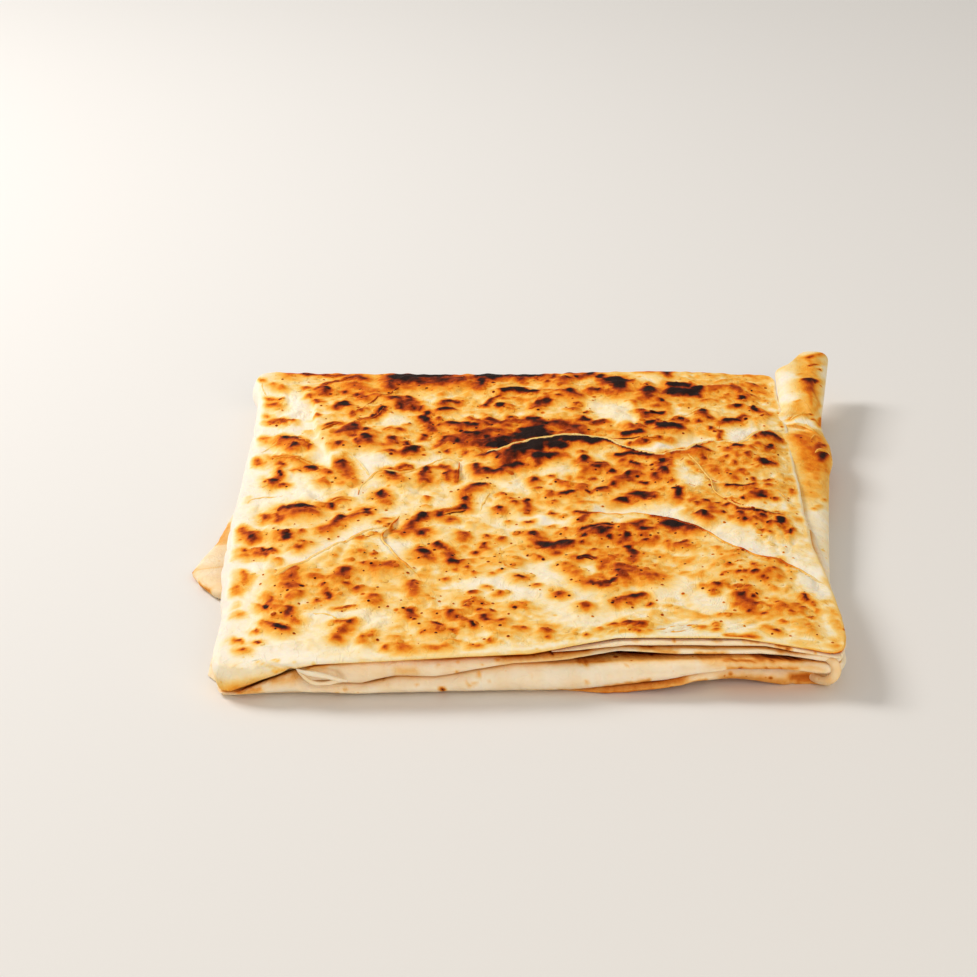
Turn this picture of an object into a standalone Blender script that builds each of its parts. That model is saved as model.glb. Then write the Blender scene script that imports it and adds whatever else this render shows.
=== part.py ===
"""Gozleme: one thin sheet of dough, folded flat round its filling into an oblong packet and griddled.

The packet is one solid. Its upper face is the baked top of the sheet, where the edges of the folds
under it show as low steps. Its wall is the stack of folds seen end on: the hem of the top sheet, the
tuck below it, the main fold and the foot fold, each a rounded nose with a notch to the next one. The
foot fold runs out on the left as a pointed tab. The end of the tuck runs out on the right as a flap,
a form of its own that is fused to the packet.

Lengths below are millimetres, made metres where a mesh is built. +X is right, +Y is back, +Z is up.
"""

import math

import bmesh
import bpy
import numpy as np
from mathutils import Vector, noise

MM = 0.001
WELD = 0.02  # points of the fused solid that are nearer than this are one

# The corners of the plan, as (x, y). Each fold runs a little past this outline or falls short of it.
FRONT_LEFT = (-92.4, -112.6)
FRONT_RIGHT = (92.0, -108.2)
BACK_RIGHT = (89.2, 108.6)
BACK_LEFT = (-93.0, 108.6)
CORNER_PULL = 0.014  # how far the corners are rounded off, as a share of the half width
CORNER_SHARPNESS = 18  # the power that keeps the rounding near the corner
HALF_WIDTH = 92.0  # half the plan's width and length, which turn a reach into a share of the plan
HALF_LENGTH = 110.0

COLUMNS = 38  # cells across the upper face
ROWS = 45  # cells along it

TOP_LEVEL = 13.9  # the upper face near its edges
PILLOW = 1.6  # how much more the filled middle rises
PILLOW_EDGE = 6  # the power that keeps the middle broad
EDGE_REACH = 13.0  # how far in from an edge its droop and waviness are felt
RELIEF_EDGE = 4.0  # how soon the relief has its full height, coming in from an edge
GAP = 0.4  # the air between one fold and the next
LEAST_THICKNESS = 0.2  # a fold pinched between two others
NOTCH_DEPTH = 2.2  # how far the notch between two folds runs in behind them
CORNER_ROOM = 0.4  # the share of their depth that tips and notches keep at a corner
CORNER_FADE = 16.0  # how far from a corner they have all of it
SOLE_INSET = 12.0  # where the underside comes down flat
SWELL_SIZE = 17.0  # the broad swells of the baked face, and the blisters half as wide on them
SWELL_HEIGHT = 0.75
SWELL_SEED = 4.7


def side_maker(number, start, end, along):
    """A function from a place on that side of the plan to its share of the way round, 0 to 4."""

    def share(place):
        return number + (place - start[along]) / (end[along] - start[along])

    return share


front = side_maker(0, FRONT_LEFT, FRONT_RIGHT, 0)
right = side_maker(1, FRONT_RIGHT, BACK_RIGHT, 1)
back = side_maker(2, BACK_RIGHT, BACK_LEFT, 0)
left = side_maker(3, BACK_LEFT, FRONT_LEFT, 1)


def line(*runs):
    """One line round the packet, from runs of (side, {place: value})."""
    points = sorted((side(place), value) for side, values in runs for place, value in values.items())
    shares, values = zip(*points)
    return lambda share: np.interp(share, shares, values, period=4)


# Heights of the lower edge of each fold, from the top sheet's hem down to the foot.
HEM = line(
    (front, {-89: 3.0, -80: 5.6, -70: 9.0, -62: 11.0, -40: 11.9, -20: 12.6, 0: 12.9, 50: 12.9, 86: 12.2}),
    (right, {-100: 11.8, -60: 11.8, 60: 12.0, 100: 12.0}),
    (back, {84: 10.5, 60: 6.5, -60: 6.0, -88: 5.0}),
    (left, {98: 5.4, 40: 5.4, -20: 5.6, -60: 5.4, -90: 4.2, -107: 3.0}),
)
SEAM = line(
    (front, {-89: 2.2, -80: 4.6, -72: 7.2, -65: 5.0, -50: 4.0, -40: 6.0, -28: 6.0, -15: 8.3}),
    (front, {-5: 10.0, 8: 9.9, 25: 11.3, 32: 11.3, 42: 10.6, 70: 10.8, 86: 9.6}),
    (right, {-98: 8.6, -60: 7.2, 0: 6.2, 37: 5.6, 60: 6.0, 80: 7.2, 100: 8.6}),
    (back, {84: 8.0, 70: 4.4, -60: 4.2, -88: 3.8}),
    (left, {98: 4.3, 0: 4.6, -30: 4.8, -60: 4.4, -107: 2.2}),
)
FOLD = line(
    (front, {-89: 1.2, -70: 1.2, -50: 0.8, 12: 0.8, 30: 2.7, 40: 4.0, 50: 5.8, 58: 7.4, 72: 7.4, 84: 6.0}),
    (right, {-100: 5.2, -60: 3.6, 60: 3.0, 100: 3.2}),
    (back, {84: 3.0, 40: 1.8, -60: 1.6, -88: 1.8}),
    (left, {98: 2.2, 24: 2.8, 4: 3.6, -46: 3.8, -60: 2.6, -107: 1.2}),
)
FOOT = line(
    (front, {-89: 0.0, 28: 0.0, 40: 1.6, 49: 2.9, 60: 2.2, 70: 1.6, 79: 0.0}),
    (right, {-100: 0.0, 100: 0.0}),
)
# The height at which the top sheet starts to turn down into its hem.
SHOULDER = line(
    (front, {-89: 10.2, -80: 11.6, -66: 12.8, -40: 13.2, 0: 14.2, 60: 14.5, 86: 13.6}),
    (right, {-100: 13.4, 60: 13.6, 100: 13.4}),
    (back, {84: 13.7, 62: 14.6, 45: 15.0, 27: 14.8, 0: 14.1, -78: 14.2, -92: 14.6}),
    (left, {104: 14.6, 94: 13.2, 0: 12.8, -60: 12.6, -107: 10.8}),
)
# How far the tip of each fold stands out from the plan, and how long its rounded tip is.
HEM_REACH = line(
    (front, {-88: 0.5, -40: 0.0, 0: -1.5, 12: -4.5, 28: -8.4, 42: -8.0, 72: -6.8, 82: -2.5, 88: 0.8}),
    (right, {-100: 0.3, -88: 0.5, -60: -0.6, -34: -2.7, 4: -2.3, 50: -0.9, 92: -1.2, 104: 0.2}),
    (back, {84: -0.2, 60: 0.6, 44: 1.0, 20: 0.2, 0: -0.2, -50: 0.2, -86: 0.6}),
    (left, {106: 1.4, 98: 0.4, 90: -0.8, 60: -0.7, 20: 0.2, -14: 1.4, -48: 1.5, -78: -0.6, -104: 0.4}),
)
HEM_TIP = line(
    (front, {-88: 5.0, -74: 3.6, -60: 2.2, -30: 1.6, 86: 1.6}),
    (right, {-100: 1.8, 100: 1.8}),
    (back, {84: 2.0, 60: 2.6, -88: 2.8}),
    (left, {98: 4.4, -107: 5.0}),
)
TUCK_REACH = line(
    (front, {-90: -1.6, -80: -3.4, -72: -3.0, -64: -0.2, -20: -0.6, 0: -1.6, 14: -3.6, 28: -6.6}),
    (front, {45: -5.2, 78: -4.0, 88: -0.6}),
    (right, {-98: 0.4, -60: 0.6, -20: 0.4, 60: 0.2, 98: -0.4}),
    (back, {84: -1.6, -88: -2.4}),
    (left, {98: -2.6, -90: -2.6, -107: -1.6}),
)
FOLD_REACH = line(
    (front, {-90: -1.0, -82: -0.2, 80: 0.0, 88: 0.4}),
    (right, {-98: 0.6, -60: -0.8, 100: -1.0}),
    (back, {84: -0.6, -88: -0.4}),
    (left, {98: -1.0, 0: -2.4, -100: -1.6, -109: -1.0}),
)
FOOT_REACH = line(
    (front, {-90: -2.6, -78: -4.2, 8: -4.5, 22: -1.2, 44: -1.0, 60: -4.6, 76: -4.2, 85: -0.2}),
    (right, {-100: -0.2, -60: -2.0, 100: -2.2}),
    (back, {84: -2.6, -88: -2.6}),
    (left, {98: -2.8, 28: -2.6, 12: 3.4, 0: 4.8, -10: 6.6, -20: 10.0, -28: 12.4, -36: 9.0, -44: 4.4}),
    (left, {-51: -2.0, -78: -2.6, -86: 1.8, -96: 2.0, -104: -1.6}),
)

# The edges of the folds under the top sheet, as the steps that they raise in it. Each is walked with
# its raised side on the left hand: its points, how high it stands, and how deep the hollow beside it is.
LONG_OVERLAP = [(90, -63), (80, -51), (67, -40), (54, -26), (44, -18), (31, -14), (12, -11)]
CHARRED_OVERLAP = [(88, 56), (79, 49), (71, 40), (63, 45), (54, 37), (46, 31), (34, 38), (24, 45), (12, 48)]
CHARRED_OVERLAP += [(0, 43), (-12, 38)]
FRONT_OVERLAP = [(-42, -20), (-52, -30), (-65, -45), (-78, -62)]
MIDDLE_LOBE = [(-32, -58), (-40, -50), (-44, -36), (-43, -22)]
LEFT_LOBE = [(-14, 36), (-24, 33), (-34, 26), (-46, 24), (-56, 30)]
LEFT_VALLEY = [(-56, 8), (-62, 26), (-68, 44), (-70, 62), (-72, 84)]
OVERLAPS = [
    (LONG_OVERLAP, 1.7, 0.8),
    (CHARRED_OVERLAP, 2.0, 1.2),
    (FRONT_OVERLAP, 1.3, 0.8),
    (MIDDLE_LOBE, 0.9, 0.5),
    (LEFT_LOBE, 1.0, 0.7),
    (LEFT_VALLEY, 1.0, 0.9),
]
STEP_WIDTH = 2.4  # how sharply a step rises
STEP_FADE = 22.0  # how far a step's raised side takes to fall away
HOLLOW_FADE = 9.0
STEP_END = 12.0  # how far a step takes to die out at its ends

# The flap starts under the top sheet's hem and stands up behind the back edge. The four lines below
# give its right and left edges and its upper and lower faces at places along it, front to back.
FLAP_START = -64.0
FLAP_END = 121.0
FLAP_STATIONS = 34
FLAP_ROUND = 2.5  # the length over which each end rounds off
FLAP_TIP = 0.25  # the share of its section that an end keeps
FLAP_SQUARENESS = 2.4  # 2 is an ellipse, and more is squarer
FLAP_SECTION = 14  # points round a section
FLAP_SLANT = 11.0  # how far its back end slants forward towards the packet
FLAP_SLANT_START = 60.0
FLAP_RIGHT = {-64: 90.6, -50: 92.3, -22: 95.0, 9: 98.1, 31: 100.4, 37: 103.0, 46: 103.2, 62: 101.0}
FLAP_RIGHT.update({80: 103.4, 117: 108.6})
FLAP_LEFT = {-64: 76.0, 58: 77.0, 66: 82.0, 76: 88.0, 117: 88.8}
FLAP_TOP = {-64: 8.4, -50: 9.6, 0: 11.6, 30: 12.4, 50: 13.8, 61: 12.6, 67: 14.0, 77: 16.8}
FLAP_TOP.update({100: 17.8, 117: 19.2})
FLAP_BOTTOM = {-64: 4.5, 30: 4.1, 58: 4.3, 84: 7.6, 117: 10.4}

DOUGH_COLOUR = (0.80, 0.52, 0.22, 1.0)
DOUGH_ROUGHNESS = 0.72


def grid_shares(count):
    """Places from -1 to 1, one for each line of a grid with that many cells."""
    return np.linspace(-1.0, 1.0, count + 1)


def plan_point(across, along):
    """The point of the plan at across and along, each -1 to 1."""
    pull = 1 - CORNER_PULL * np.minimum(1, np.abs(across * along)) ** CORNER_SHARPNESS
    u = (across * pull + 1) / 2
    v = (along * pull + 1) / 2
    corners = [np.array(c) for c in (FRONT_LEFT, FRONT_RIGHT, BACK_RIGHT, BACK_LEFT)]
    weights = [(1 - u) * (1 - v), u * (1 - v), u * v, (1 - u) * v]
    return sum(w[..., None] * c for w, c in zip(weights, corners))


def boundary_steps():
    """The grid places round the rim of the upper face, counter-clockwise from the front left corner."""
    steps = [(i, 0) for i in range(COLUMNS)]
    steps += [(COLUMNS, j) for j in range(ROWS)]
    steps += [(COLUMNS - i, ROWS) for i in range(COLUMNS)]
    steps += [(0, ROWS - j) for j in range(ROWS)]
    return steps


def boundary_shares():
    """How far round the packet each rim place is, 0 to 4."""
    shares = []
    for side, cells in enumerate((COLUMNS, ROWS, COLUMNS, ROWS)):
        shares += [side + k / cells for k in range(cells)]
    return np.array(shares)


def offset_point(across, along, reach):
    """The point of the plan that stands out from its rim by reach, mitred at the corners."""
    return plan_point(across * (1 + reach / HALF_WIDTH), along * (1 + reach / HALF_LENGTH))


def soft_step(x):
    """0 up to 0 and 1 from 1 on, with an even turn at both ends."""
    x = np.clip(x, 0.0, 1.0)
    return x * x * (3 - 2 * x)


def overlap_relief(x, y, points, rise, hollow):
    """The height that the edge of a hidden fold adds to the sheet over it."""
    points = np.array(points, float)
    best = np.full(x.shape, np.inf)
    signed = np.zeros(x.shape)
    travelled = np.zeros(x.shape)
    start = 0.0
    for a, b in zip(points[:-1], points[1:]):
        leg = b - a
        length = math.hypot(*leg)
        t = np.clip(((x - a[0]) * leg[0] + (y - a[1]) * leg[1]) / length**2, 0, 1)
        dx = x - a[0] - t * leg[0]
        dy = y - a[1] - t * leg[1]
        away = np.hypot(dx, dy)
        side = np.sign(leg[0] * dy - leg[1] * dx)
        nearer = away < best
        best = np.where(nearer, away, best)
        signed = np.where(nearer, side * away, signed)
        travelled = np.where(nearer, start + t * length, travelled)
        start += length
    ends = soft_step(travelled / STEP_END) * soft_step((start - travelled) / STEP_END)
    high = rise * np.exp(-((np.maximum(signed, 0) / STEP_FADE) ** 2))
    low = -hollow * np.exp(-((np.minimum(signed, 0) / HOLLOW_FADE) ** 2))
    return ends * (low + (high - low) * soft_step(signed / STEP_WIDTH + 0.5))


def swells(x, y):
    """The uneven swelling of the baked face: broad swells, and half as high the blisters on them."""
    places = [Vector((a / SWELL_SIZE, b / SWELL_SIZE, SWELL_SEED)) for a, b in zip(x.flat, y.flat)]
    heights = [noise.noise(place) + 0.5 * noise.noise(place * 2) for place in places]
    return SWELL_HEIGHT * np.array(heights).reshape(x.shape)


def room(shares):
    """How much of its full depth a fold's tip has: all of it along a side, and less near a corner."""
    from_corner = np.abs(shares - np.round(shares)) * 2 * HALF_LENGTH
    return CORNER_ROOM + (1 - CORNER_ROOM) * soft_step(from_corner / CORNER_FADE)


def wall_rows(shares):
    """The rows of the wall from the rim down, each as (reach, height) at every rim place."""
    depth = room(shares)
    hem, seam, fold, foot = HEM(shares), SEAM(shares), FOLD(shares), FOOT(shares)
    tuck_top = np.maximum(hem - GAP, seam + LEAST_THICKNESS)
    fold_top = np.maximum(seam - GAP, fold + LEAST_THICKNESS)
    foot_top = np.maximum(fold - GAP, foot + LEAST_THICKNESS)
    folds = [
        (HEM_REACH(shares), HEM_TIP(shares), SHOULDER(shares), hem, (90, 50, 15, -25, -60, -90)),
        (TUCK_REACH(shares), 2.6, tuck_top, seam, (90, 45, 0, -45, -90)),
        (FOLD_REACH(shares), 4.2, fold_top, fold, (90, 50, 15, -20, -55, -90)),
        (FOOT_REACH(shares), 2.4, foot_top, foot, (90, 35, -35, -90)),
    ]
    rows = []
    last_back = None
    last_bottom = None
    for reach, full_tip, top, bottom, angles in folds:
        tip = full_tip * depth
        back_of_tip = reach - tip
        if last_back is not None:
            notch = np.minimum(last_back, back_of_tip) - NOTCH_DEPTH * depth
            rows.append((notch, (last_bottom + np.minimum(top, last_bottom)) / 2))
        for angle in np.radians(angles):
            out = back_of_tip + tip * max(0.0, math.cos(angle))
            height = (top + bottom) / 2 + (top - bottom) / 2 * math.sin(angle)
            rows.append((out, height))
        last_back, last_bottom = back_of_tip, bottom
    rows.append((np.full(shares.shape, -SOLE_INSET), np.zeros(shares.shape)))
    return rows


def upper_face(rim, plan_rim):
    """The points of the upper face as a grid, its rim exactly on the first row of the wall."""
    across, along = np.meshgrid(grid_shares(COLUMNS), grid_shares(ROWS), indexing="ij")
    plan = plan_point(across, along)
    shift = np.zeros(across.shape + (3,))
    for (i, j), at, flat in zip(boundary_steps(), rim, plan_rim):
        shift[i, j] = (at[0] - flat[0], at[1] - flat[1], at[2] - TOP_LEVEL)
    x, y = plan[..., 0], plan[..., 1]
    pull = np.zeros_like(shift)
    total = np.zeros(across.shape)
    sides = [
        (shift[:, :1], y - plan[:, :1, 1]),
        (shift[-1:, :], plan[-1:, :, 0] - x),
        (shift[:, -1:], plan[:, -1:, 1] - y),
        (shift[:1, :], x - plan[:1, :, 0]),
    ]
    for side_shift, depth in sides:
        weight = np.exp(-((depth / EDGE_REACH) ** 2))
        pull += weight[..., None] * side_shift
        total += weight
    pull /= np.maximum(total, 1.0)[..., None]
    crown = (1 - np.abs(across) ** PILLOW_EDGE) * (1 - np.abs(along) ** PILLOW_EDGE)
    relief = swells(x, y)
    for points, rise, hollow in OVERLAPS:
        relief = relief + overlap_relief(x, y, points, rise, hollow)
    height = TOP_LEVEL + PILLOW * crown + relief * np.minimum(1, RELIEF_EDGE * crown)
    face = np.stack([x, y, height], axis=-1) + pull
    for (i, j), at in zip(boundary_steps(), rim):
        face[i, j] = at
    return face


def packet_mesh():
    """The packet without its flap: the upper face, the rows of the wall below it, and the flat sole."""
    shares = boundary_shares()
    places = np.array([(grid_shares(COLUMNS)[i], grid_shares(ROWS)[j]) for i, j in boundary_steps()])
    across, along_plan = places[:, 0], places[:, 1]
    rings = []
    for reach, height in wall_rows(shares):
        rings.append(np.column_stack([offset_point(across, along_plan, reach), height]))
    face = upper_face(rings[0], plan_point(across, along_plan))

    points = [tuple(p) for p in face.reshape(-1, 3)]
    indices = [[i * (ROWS + 1) + j for i, j in boundary_steps()]]
    for ring in rings[1:]:
        indices.append(list(range(len(points), len(points) + len(ring))))
        points += [tuple(p) for p in ring]

    faces = []
    for i in range(COLUMNS):
        for j in range(ROWS):
            a = i * (ROWS + 1) + j
            faces.append((a, a + ROWS + 1, a + ROWS + 2, a + 1))
    around = len(shares)
    for upper, lower in zip(indices[:-1], indices[1:]):
        for k in range(around):
            n = (k + 1) % around
            faces.append((upper[k], lower[k], lower[n], upper[n]))
    faces.append(tuple(reversed(indices[-1])))
    return points, faces


def along(profile, y):
    """The value of one of the flap's lines at a place along it."""
    return np.interp(y, list(profile), list(profile.values()))


def squared(part):
    """A sine or cosine pushed outwards, so that the ellipse it draws is a little square."""
    return math.copysign(abs(part) ** (2 / FLAP_SQUARENESS), part)


def flap_mesh():
    """The flap as a closed loft of rounded sections that stand across its length."""
    points = []
    for y in np.linspace(FLAP_START, FLAP_END, FLAP_STATIONS):
        from_end = min(y - FLAP_START, FLAP_END - y) / FLAP_ROUND
        size = FLAP_TIP + (1 - FLAP_TIP) * math.sqrt(1 - (1 - min(1.0, from_end)) ** 2)
        right_edge, left_edge = along(FLAP_RIGHT, y), along(FLAP_LEFT, y)
        top, bottom = along(FLAP_TOP, y), along(FLAP_BOTTOM, y)
        slant = FLAP_SLANT * soft_step((y - FLAP_SLANT_START) / (FLAP_END - FLAP_SLANT_START))
        for k in range(FLAP_SECTION):
            angle = 2 * math.pi * k / FLAP_SECTION
            across = squared(math.cos(angle)) * size
            up = squared(math.sin(angle)) * size
            x = (right_edge + left_edge) / 2 + across * (right_edge - left_edge) / 2
            z = (top + bottom) / 2 + up * (top - bottom) / 2
            points.append((x, y + slant * (across - 1) / 2, z))
    faces = []
    for s in range(FLAP_STATIONS - 1):
        for k in range(FLAP_SECTION):
            a, b = s * FLAP_SECTION + k, s * FLAP_SECTION + (k + 1) % FLAP_SECTION
            faces.append((a, a + FLAP_SECTION, b + FLAP_SECTION, b))
    faces.append(tuple(range(FLAP_SECTION)))
    faces.append(tuple(reversed(range((FLAP_STATIONS - 1) * FLAP_SECTION, FLAP_STATIONS * FLAP_SECTION))))
    return points, faces


def dough_material():
    """Baked dough: pale, toasted and matt."""
    material = bpy.data.materials.new("baked_dough")
    material.use_nodes = True
    shader = material.node_tree.nodes["Principled BSDF"]
    shader.inputs["Base Color"].default_value = DOUGH_COLOUR
    shader.inputs["Roughness"].default_value = DOUGH_ROUGHNESS
    shader.inputs["Metallic"].default_value = 0.0
    return material


def solid(name, points, faces, collection):
    """An object of that name in the collection, its mesh made from points in millimetres."""
    mesh = bpy.data.meshes.new(name)
    mesh.from_pydata((np.array(points) * MM).tolist(), [], faces)
    mesh.validate()
    thing = bpy.data.objects.new(name, mesh)
    collection.objects.link(thing)
    return thing


def join(body, parts):
    """One Boolean union of the body with every object of the collection.

    The flap crosses the notches of the wall at a low angle, where the EXACT solver leaves an invalid
    solid, so this union uses MANIFOLD. Both forms are closed, as it needs.
    """
    union = body.modifiers.new("union", "BOOLEAN")
    union.operation = "UNION"
    union.operand_type = "COLLECTION"
    union.collection = parts
    union.solver = "MANIFOLD"
    evaluated = body.evaluated_get(bpy.context.evaluated_depsgraph_get())
    joined = bpy.data.meshes.new_from_object(evaluated)
    body.modifiers.remove(union)
    body.data = joined
    for part in list(parts.objects):
        bpy.data.objects.remove(part)
    bpy.data.collections.remove(parts)


def clean(mesh):
    """Weld the seam of the union and stand the middle of the packet's box over the origin."""
    shape = bmesh.new()
    shape.from_mesh(mesh)
    bmesh.ops.remove_doubles(shape, verts=shape.verts, dist=WELD * MM)
    cloud = np.array([v.co for v in shape.verts])
    low, high = cloud.min(axis=0), cloud.max(axis=0)
    middle = Vector(((low[0] + high[0]) / 2, (low[1] + high[1]) / 2, low[2]))
    bmesh.ops.translate(shape, verts=shape.verts, vec=-middle)
    shape.to_mesh(mesh)
    shape.free()


def make_packet():
    scene_collection = bpy.context.scene.collection
    packet = solid("gozleme", *packet_mesh(), scene_collection)
    parts = bpy.data.collections.new("fused")
    scene_collection.children.link(parts)
    solid("flap", *flap_mesh(), parts)
    join(packet, parts)
    clean(packet.data)
    packet.data.materials.clear()
    packet.data.materials.append(dough_material())
    packet.data.shade_smooth()
    return packet


for thing in list(bpy.data.objects):
    bpy.data.objects.remove(thing)
make_packet()
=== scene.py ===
"""Gozleme, dressed: a thin sheet of dough folded flat round its filling and baked on a griddle.

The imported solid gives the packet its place. The pieces below stand for it: the top sheet with its
blisters and scorch marks, the folds that show under its hem, the flap and the baked underside.
Lengths are millimetres in the packet's own plan: +X right, +Y back, +Z up from what it lies on.
"""

import math

import bmesh
import bpy
import numpy as np
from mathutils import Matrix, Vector, noise


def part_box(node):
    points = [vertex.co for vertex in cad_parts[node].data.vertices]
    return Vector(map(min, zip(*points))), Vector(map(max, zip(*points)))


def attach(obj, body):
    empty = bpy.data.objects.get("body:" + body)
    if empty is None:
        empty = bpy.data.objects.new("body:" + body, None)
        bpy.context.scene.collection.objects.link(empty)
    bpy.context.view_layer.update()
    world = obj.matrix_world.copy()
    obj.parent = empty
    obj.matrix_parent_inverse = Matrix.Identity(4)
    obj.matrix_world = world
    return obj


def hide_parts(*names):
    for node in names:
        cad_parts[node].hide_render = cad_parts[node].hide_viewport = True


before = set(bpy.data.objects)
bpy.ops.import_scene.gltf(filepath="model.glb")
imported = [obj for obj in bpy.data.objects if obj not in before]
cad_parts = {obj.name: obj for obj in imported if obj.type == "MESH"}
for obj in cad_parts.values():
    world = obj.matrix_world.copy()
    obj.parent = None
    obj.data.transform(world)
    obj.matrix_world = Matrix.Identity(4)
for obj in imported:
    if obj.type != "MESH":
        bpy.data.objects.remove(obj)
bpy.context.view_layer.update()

# ---------------------------------------------------------------------------------------- camera
# The packet is seen from the front and a little above, as it lies on a table, through a long lens.
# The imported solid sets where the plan's corner is: the front edge and the tab on the left.
MM = 0.001
PLAN_CORNER = np.array([-104.12, -112.45, 0.0])
frame_corner = np.array(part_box("gozleme")[0])

CAMERA_PLACE = (-12.19, -877.84, 406.50)
CAMERA_TILT = 23.92
CAMERA_LENS = 110.54
SENSOR = 36.0


def placed(points):
    """Points of the plan, in millimetres, as metres in the frame."""
    return frame_corner + (np.asarray(points, float) - PLAN_CORNER) * MM


lens = bpy.data.cameras.new("camera")
lens.sensor_width = SENSOR
lens.lens = CAMERA_LENS
lens.clip_end = 20.0
camera = bpy.data.objects.new("camera", lens)
camera.location = placed(CAMERA_PLACE)
camera.rotation_euler = (math.radians(90 - CAMERA_TILT), 0, 0)
bpy.context.scene.collection.objects.link(camera)
bpy.context.scene.camera = camera

# ------------------------------------------------------------------------------------- top sheet
# The upper side of the packet: dough rolled out to about a millimetre, drawn over the filling and
# baked until it blisters and scorches. Its edge turns down all round as the hem, and the edges of
# the folds under it show through as low steps.
FRONT_LEFT = (-92.4, -112.6)
FRONT_RIGHT = (92.0, -108.2)
BACK_RIGHT = (89.2, 108.6)
BACK_LEFT = (-93.0, 108.6)
CORNER_PULL = 0.026
CORNER_SHARPNESS = 20
HALF_WIDTH = 92.0
HALF_LENGTH = 110.0
COLUMNS = 320
ROWS = 240

TOP_LEVEL = 13.9
PILLOW = 1.6
PILLOW_EDGE = 6
EDGE_REACH = 13.0
RIM_NEAR = 0.2
RELIEF_EDGE = 4.0
CORNER_ROOM = 0.4
CORNER_FADE = 16.0
SHEET_BACK = 9.0
SHEET_LAP = 8.0
SHEET_FLOOR = 9.5
FRONT_RIM, LEFT_RIM, BACK_RIM = -95.0, -88.0, 106.0  # past these a point is on that side's edge
FAR_OFF = 99.0  # so far from a crease that it isn't felt


def side_maker(number, start, end, along):
    """A function from a place on that side of the plan to its share of the way round, 0 to 4."""

    def share(place):
        return number + (place - start[along]) / (end[along] - start[along])

    return share


front = side_maker(0, FRONT_LEFT, FRONT_RIGHT, 0)
right = side_maker(1, FRONT_RIGHT, BACK_RIGHT, 1)
back = side_maker(2, BACK_RIGHT, BACK_LEFT, 0)
left = side_maker(3, BACK_LEFT, FRONT_LEFT, 1)


def line(*runs):
    """One line round the packet, from runs of (side, {place: value})."""
    points = sorted((side(place), value) for side, values in runs for place, value in values.items())
    shares, values = zip(*points)
    return lambda share: np.interp(share, shares, values, period=4)


# The height of the hem's lower edge and of its shoulder, how far its nose stands out, how deep it is.
HEM = line(
    (front, {
        -89: 1.9, -84: 3.6, -80: 5.2, -75: 7.0, -70: 8.9, -62: 11.0, -40: 11.9, -20: 12.6, 0: 12.9,
        14: 13.5, 30: 13.9,
    }),
    (front, {60: 13.9, 72: 13.7, 80: 13.2, 88: 12.5}),
    (right, {-100: 11.8, -60: 11.8, 60: 12.0, 100: 12.0}),
    (back, {84: 10.5, 60: 6.5, -60: 6.0, -88: 5.0}),
    (left, {98: 5.4, 40: 5.4, -20: 5.6, -60: 5.4, -90: 4.2, -107: 3.0}),
)
SHOULDER = line(
    (front, {-89: 10.2, -80: 11.6, -66: 12.8, -40: 13.2, 0: 14.2, 60: 14.5, 86: 13.6}),
    (right, {-100: 13.4, 60: 13.6, 100: 13.4}),
    (back, {84: 13.7, 62: 14.6, 45: 15.0, 27: 14.8, 0: 14.1, -78: 14.2, -92: 14.6}),
    (left, {106: 15.0, 100: 15.2, 95: 14.6, 88: 13.0, 0: 12.8, -60: 12.6, -107: 10.8}),
)
HEM_REACH = line(
    (front, {
        -88: 0.5, -40: 0.0, 0: -1.5, 12: -5.2, 28: -9.8, 42: -9.6, 68: -8.6, 76: -5.6, 83: -2.9, 88: 0.4,
    }),
    (right, {-100: 0.3, -88: 0.5, -60: -0.6, -34: -2.7, 4: -2.3, 50: -0.9, 92: -1.2, 104: 0.2}),
    (back, {84: -0.2, 60: 0.6, 44: 1.0, 20: 0.2, 0: -0.2, -50: 0.2, -86: 0.6}),
    (left, {
        107: 1.2, 103: 2.6, 98: 2.8, 93: 1.6, 88: -0.6, 60: -0.7, 20: 0.2, -14: 1.4, -48: 1.5, -78: -0.6,
        -104: 0.4,
    }),
)
HEM_TIP = line(
    (front, {-88: 5.0, -74: 3.6, -60: 2.2, -30: 1.6, 10: 1.6, 24: 0.9, 80: 0.9, 88: 1.4}),
    (right, {-100: 1.8, 100: 1.8}),
    (back, {84: 2.0, 60: 2.6, -88: 2.8}),
    (left, {98: 4.4, -107: 5.0}),
)

# How baked the hem is, and how much more its lower edge is, which lies on hot dough.
HEM_BAKED = line(
    (front, {-89: 0.11, -72: 0.10, -60: 0.11, -40: 0.20, 0: 0.26, 40: 0.22, 70: 0.28, 88: 0.36}),
    (right, {-100: 0.38, -60: 0.26, 0: 0.16, 60: 0.12, 100: 0.14}),
    (back, {84: 0.16, 0: 0.3, -60: 0.3, -88: 0.08}),
    (left, {98: 0.02, 0: 0.0, -60: 0.0, -100: 0.04}),
)
HEM_EDGE_BAKED = line(
    (front, {
        -86: 0.34, -76: 0.14, -50: 0.20, -20: 0.34, 0: 0.42, 30: 0.40, 52: 0.2, 62: 0.4, 72: 0.2, 88: 0.3,
    }),
    (right, {-100: 0.3, -60: 0.1, 100: 0.1}),
    (back, {84: 0.1, -88: 0.1}),
    (left, {98: 0.02, -100: 0.06}),
)
SIDE_SPREAD = 0.25
SIGHT_SLOPE = 0.445
HEM_ANGLES = (90, 76, 62, 48, 34, 20, 6, -8, -22, -38, -56, -74, -90)
# Creases pressed into the hem at the front: width, depth, and a path of (x, height seen from the front).
HEM_CREASES = [
    (0.9, 1.1, [(-83.5, 13.4), (-78.4, 12.4), (-75.2, 11.2), (-71.9, 10.2), (-69, 10.0)]),
    (1.3, 0.8, [(-77.5, 9.4), (-74, 9.8), (-70.5, 9.9)]),
    (0.5, 0.5, [(-74.6, 13.6), (-73.2, 13.1), (-72.2, 12.6)]),
]
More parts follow.
